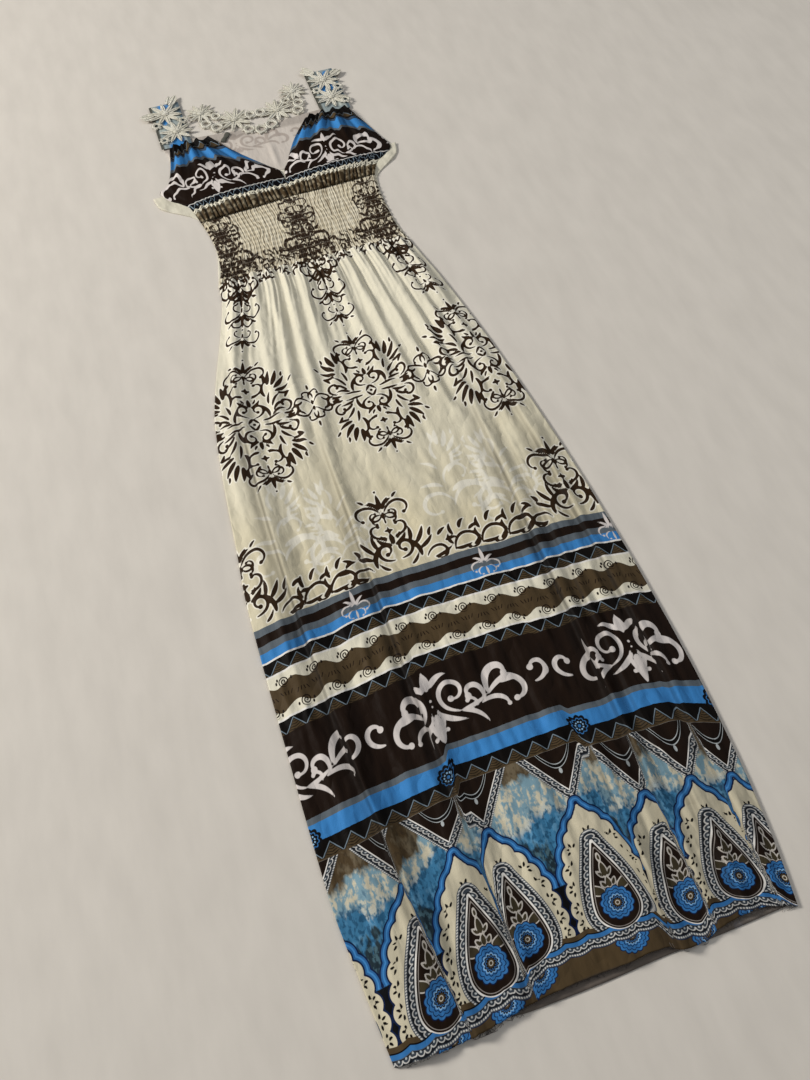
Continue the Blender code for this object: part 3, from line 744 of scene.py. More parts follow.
def settle(piece, material, slot, *nodes):
    """Gives a piece its material and body, and hides the solids it stands for; the slot is not used."""
    piece.data.materials.clear()
    piece.data.materials.append(material)
    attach(piece, "root")
    if nodes:
        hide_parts(*nodes)
    return piece


# Material nodes
def tint(code):
    parts = [int(code[k : k + 2], 16) / 255 for k in (0, 2, 4)]
    return tuple(p / 12.92 if p <= 0.04045 else ((p + 0.055) / 1.055) ** 2.4 for p in parts) + (1.0,)


class Number:
    """A number that varies over a surface, worked out by Math nodes."""

    def __init__(self, tree, socket):
        self.tree = tree
        self.socket = socket

    def work(self, operation, *others, clamp=False):
        node = self.tree.nodes.new("ShaderNodeMath")
        node.operation = operation
        node.use_clamp = clamp
        for slot, value in zip(node.inputs, (self, *others)):
            if isinstance(value, Number):
                self.tree.links.new(value.socket, slot)
            else:
                slot.default_value = value
        return Number(self.tree, node.outputs[0])

    def __add__(self, other):
        return self.work("ADD", other)

    def __sub__(self, other):
        return self.work("SUBTRACT", other)

    def __mul__(self, other):
        return self.work("MULTIPLY", other)

    def __abs__(self):
        return self.work("ABSOLUTE")

    def sine(self):
        return self.work("SINE")

    def wrapped(self, period, centre=0.0):
        """Distance from the nearest of evenly spaced centres, with its sign."""
        return (self - (centre - period / 2)).work("FLOORED_MODULO", period) - period / 2

    def below(self, edge, soft=0.3):
        """1 under an edge and 0 over it."""
        return self.work("MULTIPLY_ADD", -1 / soft, edge / soft + 0.5, clamp=True)

    def above(self, edge, soft=0.3):
        return self.work("MULTIPLY_ADD", 1 / soft, 0.5 - edge / soft, clamp=True)

    def within(self, low, high, soft=0.3):
        return self.above(low, soft) * self.below(high, soft)


def distance(x, y):
    return (x * x + y * y).work("SQRT")


class Finish:
    """A cloth material in the making: colours are laid over each other through masks."""

    def __init__(self, name, ground, roughness=0.5, sheen=0.25, specular=0.4):
        self.material = bpy.data.materials.new(name)
        self.material.use_nodes = True
        self.tree = self.material.node_tree
        self.shader = self.tree.nodes["Principled BSDF"]
        self.shader.inputs["Roughness"].default_value = roughness
        self.shader.inputs["Sheen Weight"].default_value = sheen
        self.shader.inputs["Sheen Roughness"].default_value = 0.4
        self.shader.inputs["Specular IOR Level"].default_value = specular
        self.colour = None
        self.ground = tint(ground)
        self.place = self.tree.nodes.new("ShaderNodeTexCoord").outputs["Object"]

    def field(self, name):
        node = self.tree.nodes.new("ShaderNodeAttribute")
        node.attribute_name = name
        return Number(self.tree, node.outputs["Fac"])

    def texture(self, kind, scale, stretch=(1, 1, 1), output=0, **settings):
        mapping = self.tree.nodes.new("ShaderNodeMapping")
        mapping.inputs["Scale"].default_value = stretch
        self.tree.links.new(self.place, mapping.inputs["Vector"])
        node = self.tree.nodes.new(kind)
        self.tree.links.new(mapping.outputs[0], node.inputs["Vector"])
        node.inputs["Scale"].default_value = scale
        for key, value in settings.items():
            node.inputs[key.replace("_", " ").title()].default_value = value
        return Number(self.tree, node.outputs[output])

    def noise(self, scale, stretch=(1, 1, 1), detail=2.0):
        return self.texture("ShaderNodeTexNoise", scale, stretch, Detail=detail)

    def lay(self, mask, code, strength=1.0):
        mix = self.tree.nodes.new("ShaderNodeMix")
        mix.data_type = "RGBA"
        if strength != 1.0:
            mask = mask * strength
        self.tree.links.new(mask.socket, mix.inputs[0])
        if self.colour is None:
            mix.inputs[6].default_value = self.ground
        else:
            self.tree.links.new(self.colour, mix.inputs[6])
        mix.inputs[7].default_value = tint(code)
        self.colour = mix.outputs[2]

    def bands(self, height, rows):
        """Level stripes: rows of lowest place and colour."""
        ramp = self.tree.nodes.new("ShaderNodeValToRGB")
        ramp.color_ramp.interpolation = "CONSTANT"
        low, high = rows[0][0], rows[-1][0] + 10.0
        scaled = (height - low) * (1 / (high - low))
        self.tree.links.new(scaled.socket, ramp.inputs[0])
        stops = ramp.color_ramp.elements
        stops[0].position = 0.0
        stops[0].color = tint(rows[0][1])
        stops[1].position = (rows[1][0] - low) / (high - low)
        stops[1].color = tint(rows[1][1])
        for edge, code in rows[2:]:
            stop = stops.new((edge - low) / (high - low))
            stop.color = tint(code)
        self.colour = ramp.outputs[0]

    def over(self, zone):
        """Lays colours as lay does, but only in one zone."""
        return lambda mask, code, strength=1.0: self.lay(mask * zone, code, strength)

    # Painted shade: a near-black laid over the colour through a mask
    def paint_shade(self, mask, strength):
        self.lay(mask, "0D0B0A", strength)

    def finish(self, bumps):
        """Adds worn unevenness and the given bumps, each a number and its height in metres."""
        self.lay(self.noise(14.0, (3, 1, 1), 4.0).above(0.52, 0.4), "2E271F", 0.08)
        self.tree.links.new(self.colour, self.shader.inputs["Base Color"])
        normal = None
        for number, height in bumps:
            bump = self.tree.nodes.new("ShaderNodeBump")
            bump.inputs["Distance"].default_value = height
            self.tree.links.new(number.socket, bump.inputs["Height"])
            if normal is not None:
                self.tree.links.new(normal, bump.inputs["Normal"])
            normal = bump.outputs[0]
        if normal is not None:
            self.tree.links.new(normal, self.shader.inputs["Normal"])
        return self.material

    def cloth_bumps(self):
        """Fine knit and soft crumple."""
        return [
            (self.noise(1400.0, (1, 0.5, 1), 1.0), 0.00008),
            (self.noise(60.0, (1.6, 1, 1), 3.0), 0.0007),
            (self.noise(20.0, (2.4, 0.8, 1), 3.0), 0.0020),
        ]


# Levels and repeats of the skirt's print, in millimetres of flat cloth
MARBLE_TOP = 202.5
BORDER_TIP = 202.3
PAPER_FOOT = 434.0
BAND_FOOT = 232.0
BAND_TOP = 440.0
TRIANGLE_REPEAT = 21.5
TRIANGLE_REACH = 24.0
TRIANGLE_ROWS = (204.0, 323.0, 382.8)
ROSETTE_REPEAT = 141.0
LACE_REPEAT = 6.6
SKIRT_BANDS = [
    (-60, TAUPE), (202.6, WHITE), (203.5, DARK), (217.6, WHITE), (218.5, BLUE), (233.5, GREY),
    (241, BROWN), (322.0, WHITE), (322.7, DARK), (335.5, WHITE), (337, CREAM), (380.5, WHITE),
    (382, DARK), (396.1, WHITE), (397, BLUE), (407.5, GREY), (415.5, BROWN), (424.5, GREY),
    (PAPER_FOOT, BEIGE),
]


def paint_triangles(cloth, u, v):
    """Dark bands of triangles with pale outlines and ribbed taupe fillings."""
    from_tip = abs(u.wrapped(TRIANGLE_REPEAT))
    peak = from_tip * (TRIANGLE_REACH / TRIANGLE_REPEAT)
    for low in TRIANGLE_ROWS:
        lay = cloth.over(v.within(low, low + 12.0))
        side = (v - low + peak - 11.6) * 0.66
        ribs = abs((v - low - from_tip * 0.25).wrapped(2.4)).below(0.45)
        lay(side.below(-1.2), TAUPE)
        lay(side.below(-1.6) * ribs, DARK, 0.8)
        lay(abs(side).below(0.45), EDGING, 0.65)


def paint_wave(cloth, u, v):
    """A taupe wave with twigs on it and, in each of its bays, a dark spiral with three drops."""
    wave = (u - 17.0) * (2 * math.pi / WAVE_REPEAT)
    crest = abs(v - 358.0 - (wave + math.pi / 2).sine() * 3.2)
    cloth.lay(crest.below(12.0) * v.within(337.2, 380.3), TAUPE)
    for centre, level, side in ((8.5, 371.5, 1), (25.2, 344.8, -1)):
        x = u.wrapped(WAVE_REPEAT, centre)
        y = (v - level) * side
        away = distance(x, y)
        coil = (away - y.work("ARCTAN2", x) * (2.7 / (2 * math.pi)) * side).wrapped(2.7, 1.0)
        cloth.lay(abs(coil).below(0.62) * away.below(5.6), BROWN)
        for drop_x, drop_y in ((-8.0, 0.6), (-6.4, 3.6), (8.2, 1.0)):
            cloth.lay(distance(x - drop_x * side, (y - drop_y) * 0.62).below(1.05), BROWN)
        for step in (-5.0, -1.7, 1.7, 5.0):
            twig = abs(x - step - (y + 12.5) * step * 0.10).below(0.5)
            cloth.lay(twig * abs(y + 12.8 - abs(x) * 0.12).below(2.0), BROWN)


def paint_marble(cloth, v):
    """Taupe that breaks up into light blotches and runs down into a mottled blue."""
    lay = cloth.over(v.below(MARBLE_TOP))
    drift = cloth.noise(20.0, (1.2, 0.8, 1), 3.0)
    fine = cloth.noise(105.0, (1.2, 0.5, 1), 4.0)
    tiny = cloth.noise(300.0, (1, 0.6, 1), 2.0)
    edge = v + (drift - 0.5) * 80.0 + (fine - 0.5) * 34.0
    taupe = edge.above(156.0, 14.0)
    lay(taupe * fine.above(0.52, 0.12), "6F6450", 0.75)
    lay(taupe * tiny.below(0.42, 0.12), "33291D", 0.5)
    lay(edge.within(148.0, 178.0, 8.0), PALE_BLUE, 0.8)
    lay(edge.within(144.0, 178.0, 9.0) * (fine * 0.7 + tiny * 0.5).above(0.61, 0.10), SAND, 0.95)
    lay(edge.below(150.0, 7.0), MARBLE)
    lay(edge.below(160.0, 9.0) * (tiny * 0.6 + fine).above(0.88, 0.12), "6FA0BE", 0.45)
    lay(edge.below(156.0, 9.0) * tiny.below(0.45, 0.10), "1F4A68", 0.8)
    dark = (fine + (v - 116.0) * -0.012 + (drift - 0.5) * 0.6).above(0.46, 0.10)
    lay(v.below(138.0, 12.0) * dark, "1E292C", 0.94)
    lay(v.below(126.0, 12.0) * dark * tiny.above(0.56, 0.08), "4D6C77", 0.7)


def paint_lace_edge(cloth, away, along, mask):
    """A printed lace edge: away runs from its smooth side, 0, to its dotted side, 9."""
    lay = cloth.over(mask)
    lay(away.within(-0.4, 9.4), "4C535B")
    lay(away.within(0.6, 6.6), "181B20")
    loop = distance(along.wrapped(LACE_REPEAT), away - 1.6)
    lay(loop.below(3.9) * away.above(1.4), "3A4149")
    lay(loop.within(2.7, 3.6) * away.above(1.6), "C4C2BC")
    lay(loop.below(0.9), LOOPS)
    lay(distance(along.wrapped(LACE_REPEAT / 3), away - 7.9).below(0.8), "C9C7C0")


def paint_flower(cloth, x, y, size, mask, petals):
    """A double round flower with navy outlines, a brown ring and a pale eye."""
    lay = cloth.over(mask)
    angle = y.work("ARCTAN2", x)
    away = distance(x, y) * (1 / size)
    outer = away - abs((angle * (petals / 2)).sine()) * 1.6
    inner = away - abs((angle * (petals / 2) + 0.8).sine()) * 1.3
    lay(outer.below(13.6), NAVY_LINE)
    lay(outer.below(12.7), FLOWER)
    lay(abs(outer - 10.4).below(0.36), NAVY_LINE)
    lay(abs(inner - 7.6).below(0.36), NAVY_LINE)
    lay(inner.within(5.2, 6.4), PALE_BEAD, 0.8)
    lay(inner.below(5.4), "20150E")
    lay(abs(inner - 3.9).below(0.34), FLOWER)
    lay(away.below(3.2), "4C3F2B")
    lay(abs(away - 1.7).below(0.35), "C9C2B4")


def paint_pendants(cloth, x, v):
    """Inverted brown triangles with lace edges, and a garland with a drop in each."""
    slope = math.atan2(26, 36)
    vee = abs(x) * math.cos(slope) - (v - 163.0) * math.sin(slope)
    upper = v.below(BORDER_TIP) * v.above(150.0)
    lay = cloth.over(upper)
    paint_lace_edge(cloth, (vee - 1.2) * 1.25, v * (1 / math.cos(slope)), vee.below(8.4) * upper)
    lay(vee.below(1.2), WHITE)
    lay(vee.below(0.2), BROWN)
    garland = abs(x * x * 0.055 + 186.0 - v)
    lay(garland.below(2.6) * vee.below(-3.0), DARK)
    lay(abs(garland - 1.9).below(0.4) * vee.below(-3.0), LOOPS)
    lay(distance(x, (v - 181.0) * 0.6).below(1.6), LOOPS)


def paint_arches(cloth, v):
    """Ogee arches in three blues round their light fields, with a navy foot between them."""
    arch = cloth.field("arch")
    lay = cloth.over(v.above(84.0, 1.0))
    lay(arch.below(7.2), NAVY_LINE)
    lay(arch.below(5.9), ARCH_BLUE)
    lay(arch.within(3.0, 4.4), "4F9AD8", 0.5)
    cloth.lay(v.within(36.0, 86.0, 1.0), NAVY)
    inside = v.below(BORDER_TIP) * v.above(36.0)
    cloth.lay(arch.below(1.5) * inside, NAVY_LINE)
    cloth.lay(arch.below(0.0) * inside, SAND)
    cloth.lay(cloth.field("mark").below(0.0) * arch.below(-2.0), DARK)


def paint_border(cloth, u, v):
    """The foot of the skirt: pendants, arches, teardrops with a flower each, and the hem's edging."""
    x = u.wrapped(ARCH_REPEAT, ARCH_CENTRE)
    paint_pendants(cloth, x, v)
    paint_arches(cloth, v)

    tear = cloth.field("tear")
    body = v.above(26.0)
    paint_lace_edge(cloth, tear - 1.4, v * 1.06, tear.within(1.0, 10.8) * body)
    cloth.lay(tear.within(-0.2, 1.5) * body, WHITE)
    cloth.lay(tear.below(0.0), BROWN)
    cloth.lay(abs(tear + 1.8).below(0.35), "A79F97", 0.7)
    bud = cloth.field("bud")
    cloth.lay(bud.below(0.0) * tear.below(-2.5), "3B3424")
    cloth.lay(abs(bud).below(0.5) * tear.below(-2.5), "C4BDB3", 0.9)
    paint_flower(cloth, x, v - 56.0, 1.06, tear.below(-0.6), 12)

    hem = v + abs((u * (math.pi / 22.0)).sine()) * 2.4
    cloth.lay(hem.below(43.0) * tear.above(10.0), TAUPE)
    cloth.lay(hem.below(38.6) * tear.above(1.0), DARK)
    cloth.lay(hem.below(37.4) * tear.above(1.0), FLOWER)
    cloth.lay(hem.below(33.0), NAVY_LINE)
    paint_lace_edge(cloth, (hem - 33.4) * -1.0, u, hem.within(23.4, 33.4))
    cloth.lay(hem.below(23.4), TAUPE)
    paint_flower(cloth, x, v - 23.0, 1.1, hem.below(23.2), 16)
    cloth.lay(v.below(1.5, 2.0), "3A3532", 0.8)


def paint_rosettes(cloth, u, v):
    """Small dark rosettes that interrupt the lower blue stripe."""
    x, y = u.wrapped(ROSETTE_REPEAT, 72.0), v - 222.0
    away, around = distance(x, y), y.work("ARCTAN2", x)
    lobes = abs((around * 5.0).sine())
    cloth.lay((away - lobes * 1.8).below(9.4), NAVY)
    cloth.lay(abs(away - lobes * 1.6 - 6.2).below(0.5), FLOWER, 0.95)
    cloth.lay(abs(away - 3.9).below(0.7) * (around * 9.0).sine().above(-0.2, 0.3), PALE_BEAD, 0.9)
    cloth.lay(away.below(1.6), FLOWER, 0.9)


def paint_lower_skirt(cloth, u, v, soft_v):
    paint_triangles(cloth, u, soft_v)
    paint_wave(cloth, u, soft_v)
    paint_marble(cloth, v)
    paint_border(cloth, cloth.field("arch_u"), v)


def make_skirt_material():
    cloth = Finish("skirt print", BEIGE, roughness=0.6, sheen=0.0, specular=0.06)
    u, v = cloth.field("print_u"), cloth.field("print_v")
    soft_v = v + (cloth.noise(260.0) - 0.5) * 0.8
    cloth.bands(soft_v, SKIRT_BANDS)
    ink = cloth.field("damask")
    lay = cloth.over(v.above(PAPER_FOOT))
    lay(v.above(600.0, 260.0), CREAM, 0.9)
    lay(cloth.noise(13.0, (1, 0.6, 1), 4.0).above(0.55, 0.3), "DAD4BF", 0.5)
    lay(cloth.field("ghost").below(-0.6, 1.2), GHOST, 0.66)
    lay(ink.below(1.1, 0.6), "EEE9DA", 0.85)
    lay(ink.below(-0.1, 0.35), INK)
    paint_lower_skirt(cloth, u, v, soft_v)
    paint_rosettes(cloth, u, v)
    cloth.lay(v.within(BAND_FOOT, BAND_TOP) * cloth.field("white").below(-0.35, 0.5), SCROLL)
    # Painted shade in the feet of the lapped folds and on the slopes beside them
    cloth.paint_shade(cloth.field("crease"), 0.9)
    crumple = abs(cloth.noise(24.0, (1.5, 0.9, 1), 2.0) - 0.5)
    return cloth.finish(cloth.cloth_bumps() + [(crumple, 0.0056)])


# Skirt
outline_left = curve(SKIRT_OUTLINE, "height", "left")
outline_right = curve(SKIRT_OUTLINE, "height", "right")


def fold_rise(folds, x, height):
    total = np.zeros(np.shape(x))
    for fold in folds:
        line, t = fold_line(fold, height)
        fade = smooth_step(5 * t) * smooth_step(5 * (1 - t))
        away = x - line
        width = np.where(away < 0, fold.left_width, fold.right_width)
        total += fold.rise * fade * bell(away, width)
    return total


def gather_rise(across, height):
    """Uneven gathers that run down from the waist seam, each its own length."""
    rng = np.random.default_rng(7)
    total = np.zeros(np.shape(across))
    below = SKIRT_TOP - height
    for k in range(GATHERS):
        middle = (k + 0.5 + rng.uniform(-0.28, 0.28)) / GATHERS
        reach = rng.uniform(0.045, 0.20)
        drift = rng.uniform(-0.10, 0.10)
        tall = rng.uniform(0.0016, 0.0030)
        half = 0.0062 + 0.030 * below
        away = across - middle - drift * below * (0.5 - abs(middle - 0.5))
        total += tall * np.exp(-below / reach) * bell(away, half)
    return total


def skirt_rise(x, height, across):
    from_edge = np.minimum(x - outline_left(height), outline_right(height) - x)
    edge = smooth_step(from_edge / EDGE_ROLL)
    folds = fold_rise(LONG_FOLDS + WAIST_FOLDS, x, height)
    streaks = 0.0010 * noise(x, height, 0.011, 0.085, 3) + 0.0005 * noise(x, height, 0.006, 0.03, 4)
    streaks = streaks * (1 + 0.9 * smooth_step((0.50 - height) / 0.2))
    slant = 0.0014 * noise(x + 0.5 * height, height - 0.4 * x, 0.018, 0.060, 6)
    swell = 0.0012 * (1 + noise(x, height, 0.045, 0.12, 8))
    ease = smooth_step((SKIRT_TOP - height) / 0.04)
    rise = edge * (SKIRT_LIFT + folds + ease * (streaks + slant + swell))
    return np.maximum(rise, 0.0) + gather_rise(across, height) * np.maximum(edge, 0.3)


front_hem = curve(FRONT_HEM, "x", "height")
back_hem = curve(BACK_HEM, "x", "height")
# Steps down the cut left edge: the way across from it, and the level
EDGE_OUT = ((-0.0003, 0.0021), (-0.0005, 0.0012), (-0.0003, 0.0004))


def skirt_grid(low, high, rows, columns, hem):
    """Plan of a stretch of the skirt between two heights: across, x and height."""
    across, along = plan(rows, columns)
    level = low + (high - low) * along
    left, right = outline_left(level), outline_right(level)
    x = left + (right - left) * across
    hem_height = hem(x)
    height = hem_height + (SKIRT_TOP - hem_height) * level / SKIRT_TOP
    return across, x, height


def make_front_stretch(name, low, high, rows, hem_turn):
    """A stretch of the front skirt, with its cut edges rolled down at both sides."""
    across, x, height = skirt_grid(low, high, rows, COLUMNS, front_hem)
    if hem_turn:
        height = height + 0.0012 * noise(x, 0 * x, 0.004, 1.0, 21) * np.exp(-(height - low) / 0.012)
    z = FRONT_LEVEL + CLOTH + skirt_rise(x, height, across)
    fields = print_fields(*front_print(x * 1000, height * 1000))
    # Painted shade of the lapped folds, kept as the crease field
    fields["crease"] = crease_shade(x * 1000, height * 1000)
    out = np.array([step[0] for step in EDGE_OUT])
    level = np.array([step[1] for step in EDGE_OUT]) + np.zeros((rows, 1))
    x = np.hstack([x[:, :1] + out[::-1], x, x[:, -1:] - out])
    z = np.hstack([level[:, ::-1], z, level])
    sides = [(0, 0), (len(EDGE_OUT), len(EDGE_OUT))]
    height = np.pad(height, sides, mode="edge")
    fields = {key: np.pad(values, sides, mode="edge") for key, values in fields.items()}
    if hem_turn:
        x, height, z, fields = turn_hem(x, height, z, fields)
    return make_grid(name, *place(x, height, z), fields)


def turn_hem(x, height, z, fields):
    """Two more rows at the hem: the cut edge's thickness, and its return under the cloth."""
    under = np.maximum(z[:1] - CLOTH * 0.8, 0.0003)
    two_rows = [(2, 0), (0, 0)]
    fields = {key: np.pad(values, two_rows, mode="edge") for key, values in fields.items()}
    height = np.vstack([height[:1] + 0.004, height[:1], height])
    return np.pad(x, two_rows, mode="edge"), height, np.vstack([under, under, z]), fields


def make_skirt_back_piece():
    """Back panel flat on the floor: its printed side below, its wrong side up by the hem."""
    x, height = skirt_grid(0.0, SKIRT_TOP, BACK_ROWS, BACK_COLUMNS, back_hem)[1:]
    x = x * (1 - 0.004)
    ripple = 0.0006 * (1 + noise(x, height, 0.013, 0.3, 31)) * np.exp(-height / 0.03)
    top = CLOTH - 0.0001 + ripple * 0.4
    fields = print_fields(*front_print(-x * 1000, height * 1000))
    fields["wrong"] = 0 * x

    def folded(upper, lower):
        return np.vstack([upper[:TURNED_ROWS][::-1], lower])

    fields = {key: folded(values, values) for key, values in fields.items()}
    fields["wrong"][:TURNED_ROWS] = 1.0
    grids = place(folded(x, x), folded(height, height), folded(top, 0.0002 + 0 * x))
    return make_grid("back_skirt_cloth", *grids, fields, flip=True)


def make_back_material():
    """The wrong side of the print at the hem, and the print itself below."""
    cloth = Finish("skirt wrong side", WRONG, roughness=0.65, sheen=0.05, specular=0.2)
    u, v = cloth.field("print_u"), cloth.field("print_v")
    cloth.bands(v, SKIRT_BANDS)
    cloth.lay(v.above(PAPER_FOOT) * cloth.field("damask").below(0.1), BROWN)
    paint_lower_skirt(cloth, u, v, v)
    cloth.lay(v.within(BAND_FOOT, BAND_TOP) * cloth.field("white").below(0.0, 0.5), SCROLL)
    cloth.lay(cloth.field("wrong").above(0.5), "6E655C", 0.92)
    return cloth.finish(cloth.cloth_bumps())


# Smocked waist
def waist_top(x):
    peak_x, peak_height, half_width = CUP_SEAM_PEAK
    return CUP_SEAM + CUP_SEAM_SLOPE * x + peak_height * bell(x - peak_x, half_width)


def panel_grid(outline, bottom, top_of, columns, rows):
    across, along = plan(rows, columns)
    low, high = outline[0].height, outline[-1].height
    height = low + (high - low) * along
    left = curve(outline, "height", "left")(height)
    right = curve(outline, "height", "right")(height)
    x = left + (right - left) * across
    return across, along, x, bottom + (top_of(x) - bottom) * along


def make_waist_front_piece():
    """Smocking: fine ribs, pinched and set off sideways at each row of elastic."""
    columns, rows = RIBS * 5 + 1, ELASTIC_ROWS * 15 + 1
    bottom = SKIRT_TOP + SEAM_GAP
    across, along, x, height = panel_grid(WAIST_OUTLINE, bottom, waist_top, columns, rows)
    ribs_across = across * RIBS
    row_place = along * ELASTIC_ROWS
    row = np.floor(row_place)

    def shove(row):
        wide_shove = 0.42 * noise(ribs_across, row, 3.1, 1.0, 41)
        return wide_shove + 0.22 * noise(ribs_across, row, 1.4, 1.0, 42)

    puff = np.sin(np.pi * (row_place - row)) ** 2
    t = smooth_step(row_place - row)
    rib_place = ribs_across + shove(row) * (1 - t) + shove(row + 1) * t
    rib = np.abs(np.sin(np.pi * rib_place)) ** 0.8
    wide_place = rib_place * 0.5 + 0.8 * noise(ribs_across, row_place, 3.4, 2.4, 46)
    wide = np.abs(np.sin(np.pi * wide_place))
    tall = 0.0016 * (0.35 + 0.65 * puff) * (1 + 0.3 * noise(ribs_across, row_place, 1.0, 1.0, 43))
    level = FRONT_LEVEL + WAIST_WALL * 0.9 + tall * (0.75 * rib + 0.6 * wide)
    edge = np.minimum(across, 1 - across)
    level = level - 0.0016 * (1 - smooth_step(edge / 0.015))
    frill = smooth_step((along - 0.975) / 0.025)
    height = height + 0.0016 * frill * (rib - 0.6)
    number = np.floor(rib_place)
    u = DAMASK_CENTRE + (x * 1000 - 4) * DAMASK_REPEAT / WAIST_REPEAT
    u = u + 2.2 * noise(number, row_place, 0.9, 1.3, 44)
    v = height * 1000 + 2.4 * noise(number, row_place, 0.9, 2.0, 45)
    # How deep a point lies between the ribs: the mask for painted shade in the valleys
    valley_shade = 1 - 0.4 * rib - 0.6 * wide
    fields = {"damask": damask_upper.at(u, v), "valley_shade": valley_shade, "elastic": 1 - puff}
    return make_grid("front_waist_smocking", *place(x, height, level), fields)


def make_smock_material():
    cloth = Finish("smocked waist", "D6CCB2", roughness=0.6, sheen=0.0, specular=0.12)
    valley_shade = cloth.field("valley_shade")
    cloth.lay(cloth.noise(40.0, detail=3.0).above(0.5, 0.4), "E4DECB", 0.5)
    # Painted shade in the valleys between the ribs, warm tan
    cloth.lay(valley_shade.above(0.48, 0.6), "7F6C4B", 0.85)
    cloth.lay(cloth.field("damask").below(0.1, 0.7), INK)
    cloth.lay(cloth.field("elastic").above(0.95, 0.1), "E7E1D0", 0.12)
    # Deeper painted shade, near-black, at the bottom of the valleys
    cloth.paint_shade(valley_shade.above(0.80, 0.4), 0.6)
    return cloth.finish(cloth.cloth_bumps())


def thin_shell(name, x, height, low, high, fields=None):
    """A single open sheet: its upper face, rolled down at every side to its lower level."""
    base, level = (np.pad(grid, 2, mode="edge") for grid in (low, high))
    for upper, lower in ((level, base), (level.T, base.T)):
        for rim, beside in ((0, 1), (-1, -2)):
            upper[rim] = lower[rim]
            upper[beside] = (upper[beside] + lower[beside]) / 2
    fields = {key: np.pad(values, 2, mode="edge") for key, values in (fields or {}).items()}
    x, height = (np.pad(grid, 2, mode="edge") for grid in (x, height))
    return make_grid(name, *place(x, height, level), fields)


def waist_back_top(x):
    return WAIST_BACK_TOP + 0 * x


def make_waist_back_piece():
    """Back smocked panel, flat: only its cream wings show past the cups."""
    bottom = SKIRT_TOP + SEAM_GAP
    grid = panel_grid(WAIST_BACK_OUTLINE, bottom, waist_back_top, *WAIST_BACK_GRID)
    across, along, x, height = grid
    wing = smooth_step((height - 1.055) / 0.03) * smooth_step((np.abs(x - 0.003) - 0.105) / 0.03)
    ribs = np.abs(np.sin(np.pi * across * 60)) ** 0.8
    ripple = 0.0011 * (1 + noise(x + 0.3 * height, height, 0.010, 0.030, 51))
    high = 0.0010 + wing * (0.0003 * ribs + ripple)
    fringe = 0.0010 * noise(x, height, 0.003, 0.003, 52) * smooth_step((along - 0.97) / 0.03)
    return thin_shell("back_waist_cloth", x, height + fringe, 0.0002 + 0 * x, high)


def make_wing_material():
    cloth = Finish("back waist", CREAM, roughness=0.6, sheen=0.05, specular=0.25)
    cloth.lay(cloth.noise(55.0, (2, 1, 1), 3.0).above(0.52, 0.3), "B8B19E", 0.5)
    cloth.lay(cloth.noise(21.0).above(0.55, 0.2), "E2DCCB", 0.5)
    return cloth.finish(cloth.cloth_bumps())


def neckline(x):
    return NECKLINE + NECKLINE_DIP * smooth_step(np.abs(x) / NECKLINE_HALF_WIDTH)


def make_bodice_back_piece():
    """Back bodice with its wrong side up, and a crease down its middle."""
    bottom = WAIST_BACK_TOP + SEAM_GAP
    x, height = panel_grid(BODICE_BACK_OUTLINE, bottom, neckline, *BODICE_BACK_GRID)[2:]
    shown = smooth_step((0.075 - np.abs(x)) / 0.03) * smooth_step((height - 1.11) / 0.02)
    shown = shown * smooth_step((NECKLINE - 0.012 - height) / 0.02)
    crease = bell(x - 0.008, 0.0035) * smooth_step((1.18 - height) / 0.03)
    ripple = 0.0004 * (1 + noise(x - 0.5 * height, height, 0.014, 0.05, 61))
    high = 0.0011 + shown * (0.0014 * crease + ripple * 0.3)
    u, v = x * 1250 - 10, (height - 1.184) * 1250 + 283
    fields = {"white": scroll_band.at(u, v), "rise": height}
    return thin_shell("back_bodice_cloth", x, height, 0.0002 + 0 * x, high, fields)


def make_wrong_material():
    cloth = Finish("bodice wrong side", WRONG, roughness=0.65, sheen=0.05, specular=0.2)
    cloth.lay(cloth.noise(30.0, (1, 1, 1), 4.0).above(0.5, 0.4), "C9C1B8", 0.5)
    height = cloth.field("rise")
    cloth.lay(cloth.field("white").below(0.0, 2.0) * height.above(1.165, 0.004), "8C7D73", 0.55)
    cloth.lay(height.above(1.200, 0.006), "8A8178", 0.5)
    return cloth.finish(cloth.cloth_bumps())


# Cups: the middles of their scrolls and of each cup in metres, and two edges of their stripes in
# millimetres, one from the seam and one from the hem
CUP_SCROLLS = 1.117
CUP_MIDDLE = 0.100
NAVY_TOP = 43.0
CUP_TRIANGLES = 1189.0


def pleat_place(across, along):
    """Which pleat of the ruched strip a point lies on: the pleats are uneven."""
    return CUP_PLEATS * (across + 0.022 * noise(across, along, 0.07, 0.3, 73))


def strap_gathers(across, along):
    """Folds that run down from the strap, between 0 and 1."""
    wander = across + 0.02 * np.sin(5 * along) + 0.015 * noise(across, along, 0.2, 0.2, 71)
    return (0.5 - 0.5 * np.cos(2 * np.pi * 4 * wander)) ** 1.6


def cup_rise(across, along, mirror):
    side = across if mirror else 1.0 - across
    dome = 0.0090 * np.sin(np.pi * np.clip(across, 0, 1)) ** 0.8
    dome = dome * np.sin(np.pi * np.minimum(0.12 + 0.80 * along, 1.0)) * (0.8 + 0.2 * side)
    strap = strap_gathers(across, along) * 0.0044 * smooth_step((along - 0.30) / 0.5)
    fine = 0.0016 * noise(across, along, 0.045, 0.35, 72) * smooth_step((along - 0.2) / 0.3)
    uneven = pleat_place(across, along)
    ruche = (0.5 - 0.5 * np.cos(2 * np.pi * uneven)) ** 0.8
    size = 0.75 + 0.35 * noise(np.floor(uneven), 0 * uneven, 1.0, 1.0, 74)
    ruche = ruche * 0.0038 * size * (1.0 - smooth_step((along - 0.12) / 0.12))
    strip = 0.0012 * bell(along - 0.135, 0.02) * (0.7 + 0.3 * np.sin(2 * np.pi * uneven))
    crumple = 0.0007 * noise(across, along, 0.10, 0.10, 75)
    return np.maximum(dome + strap + fine + ruche + strip + crumple, 0.0)


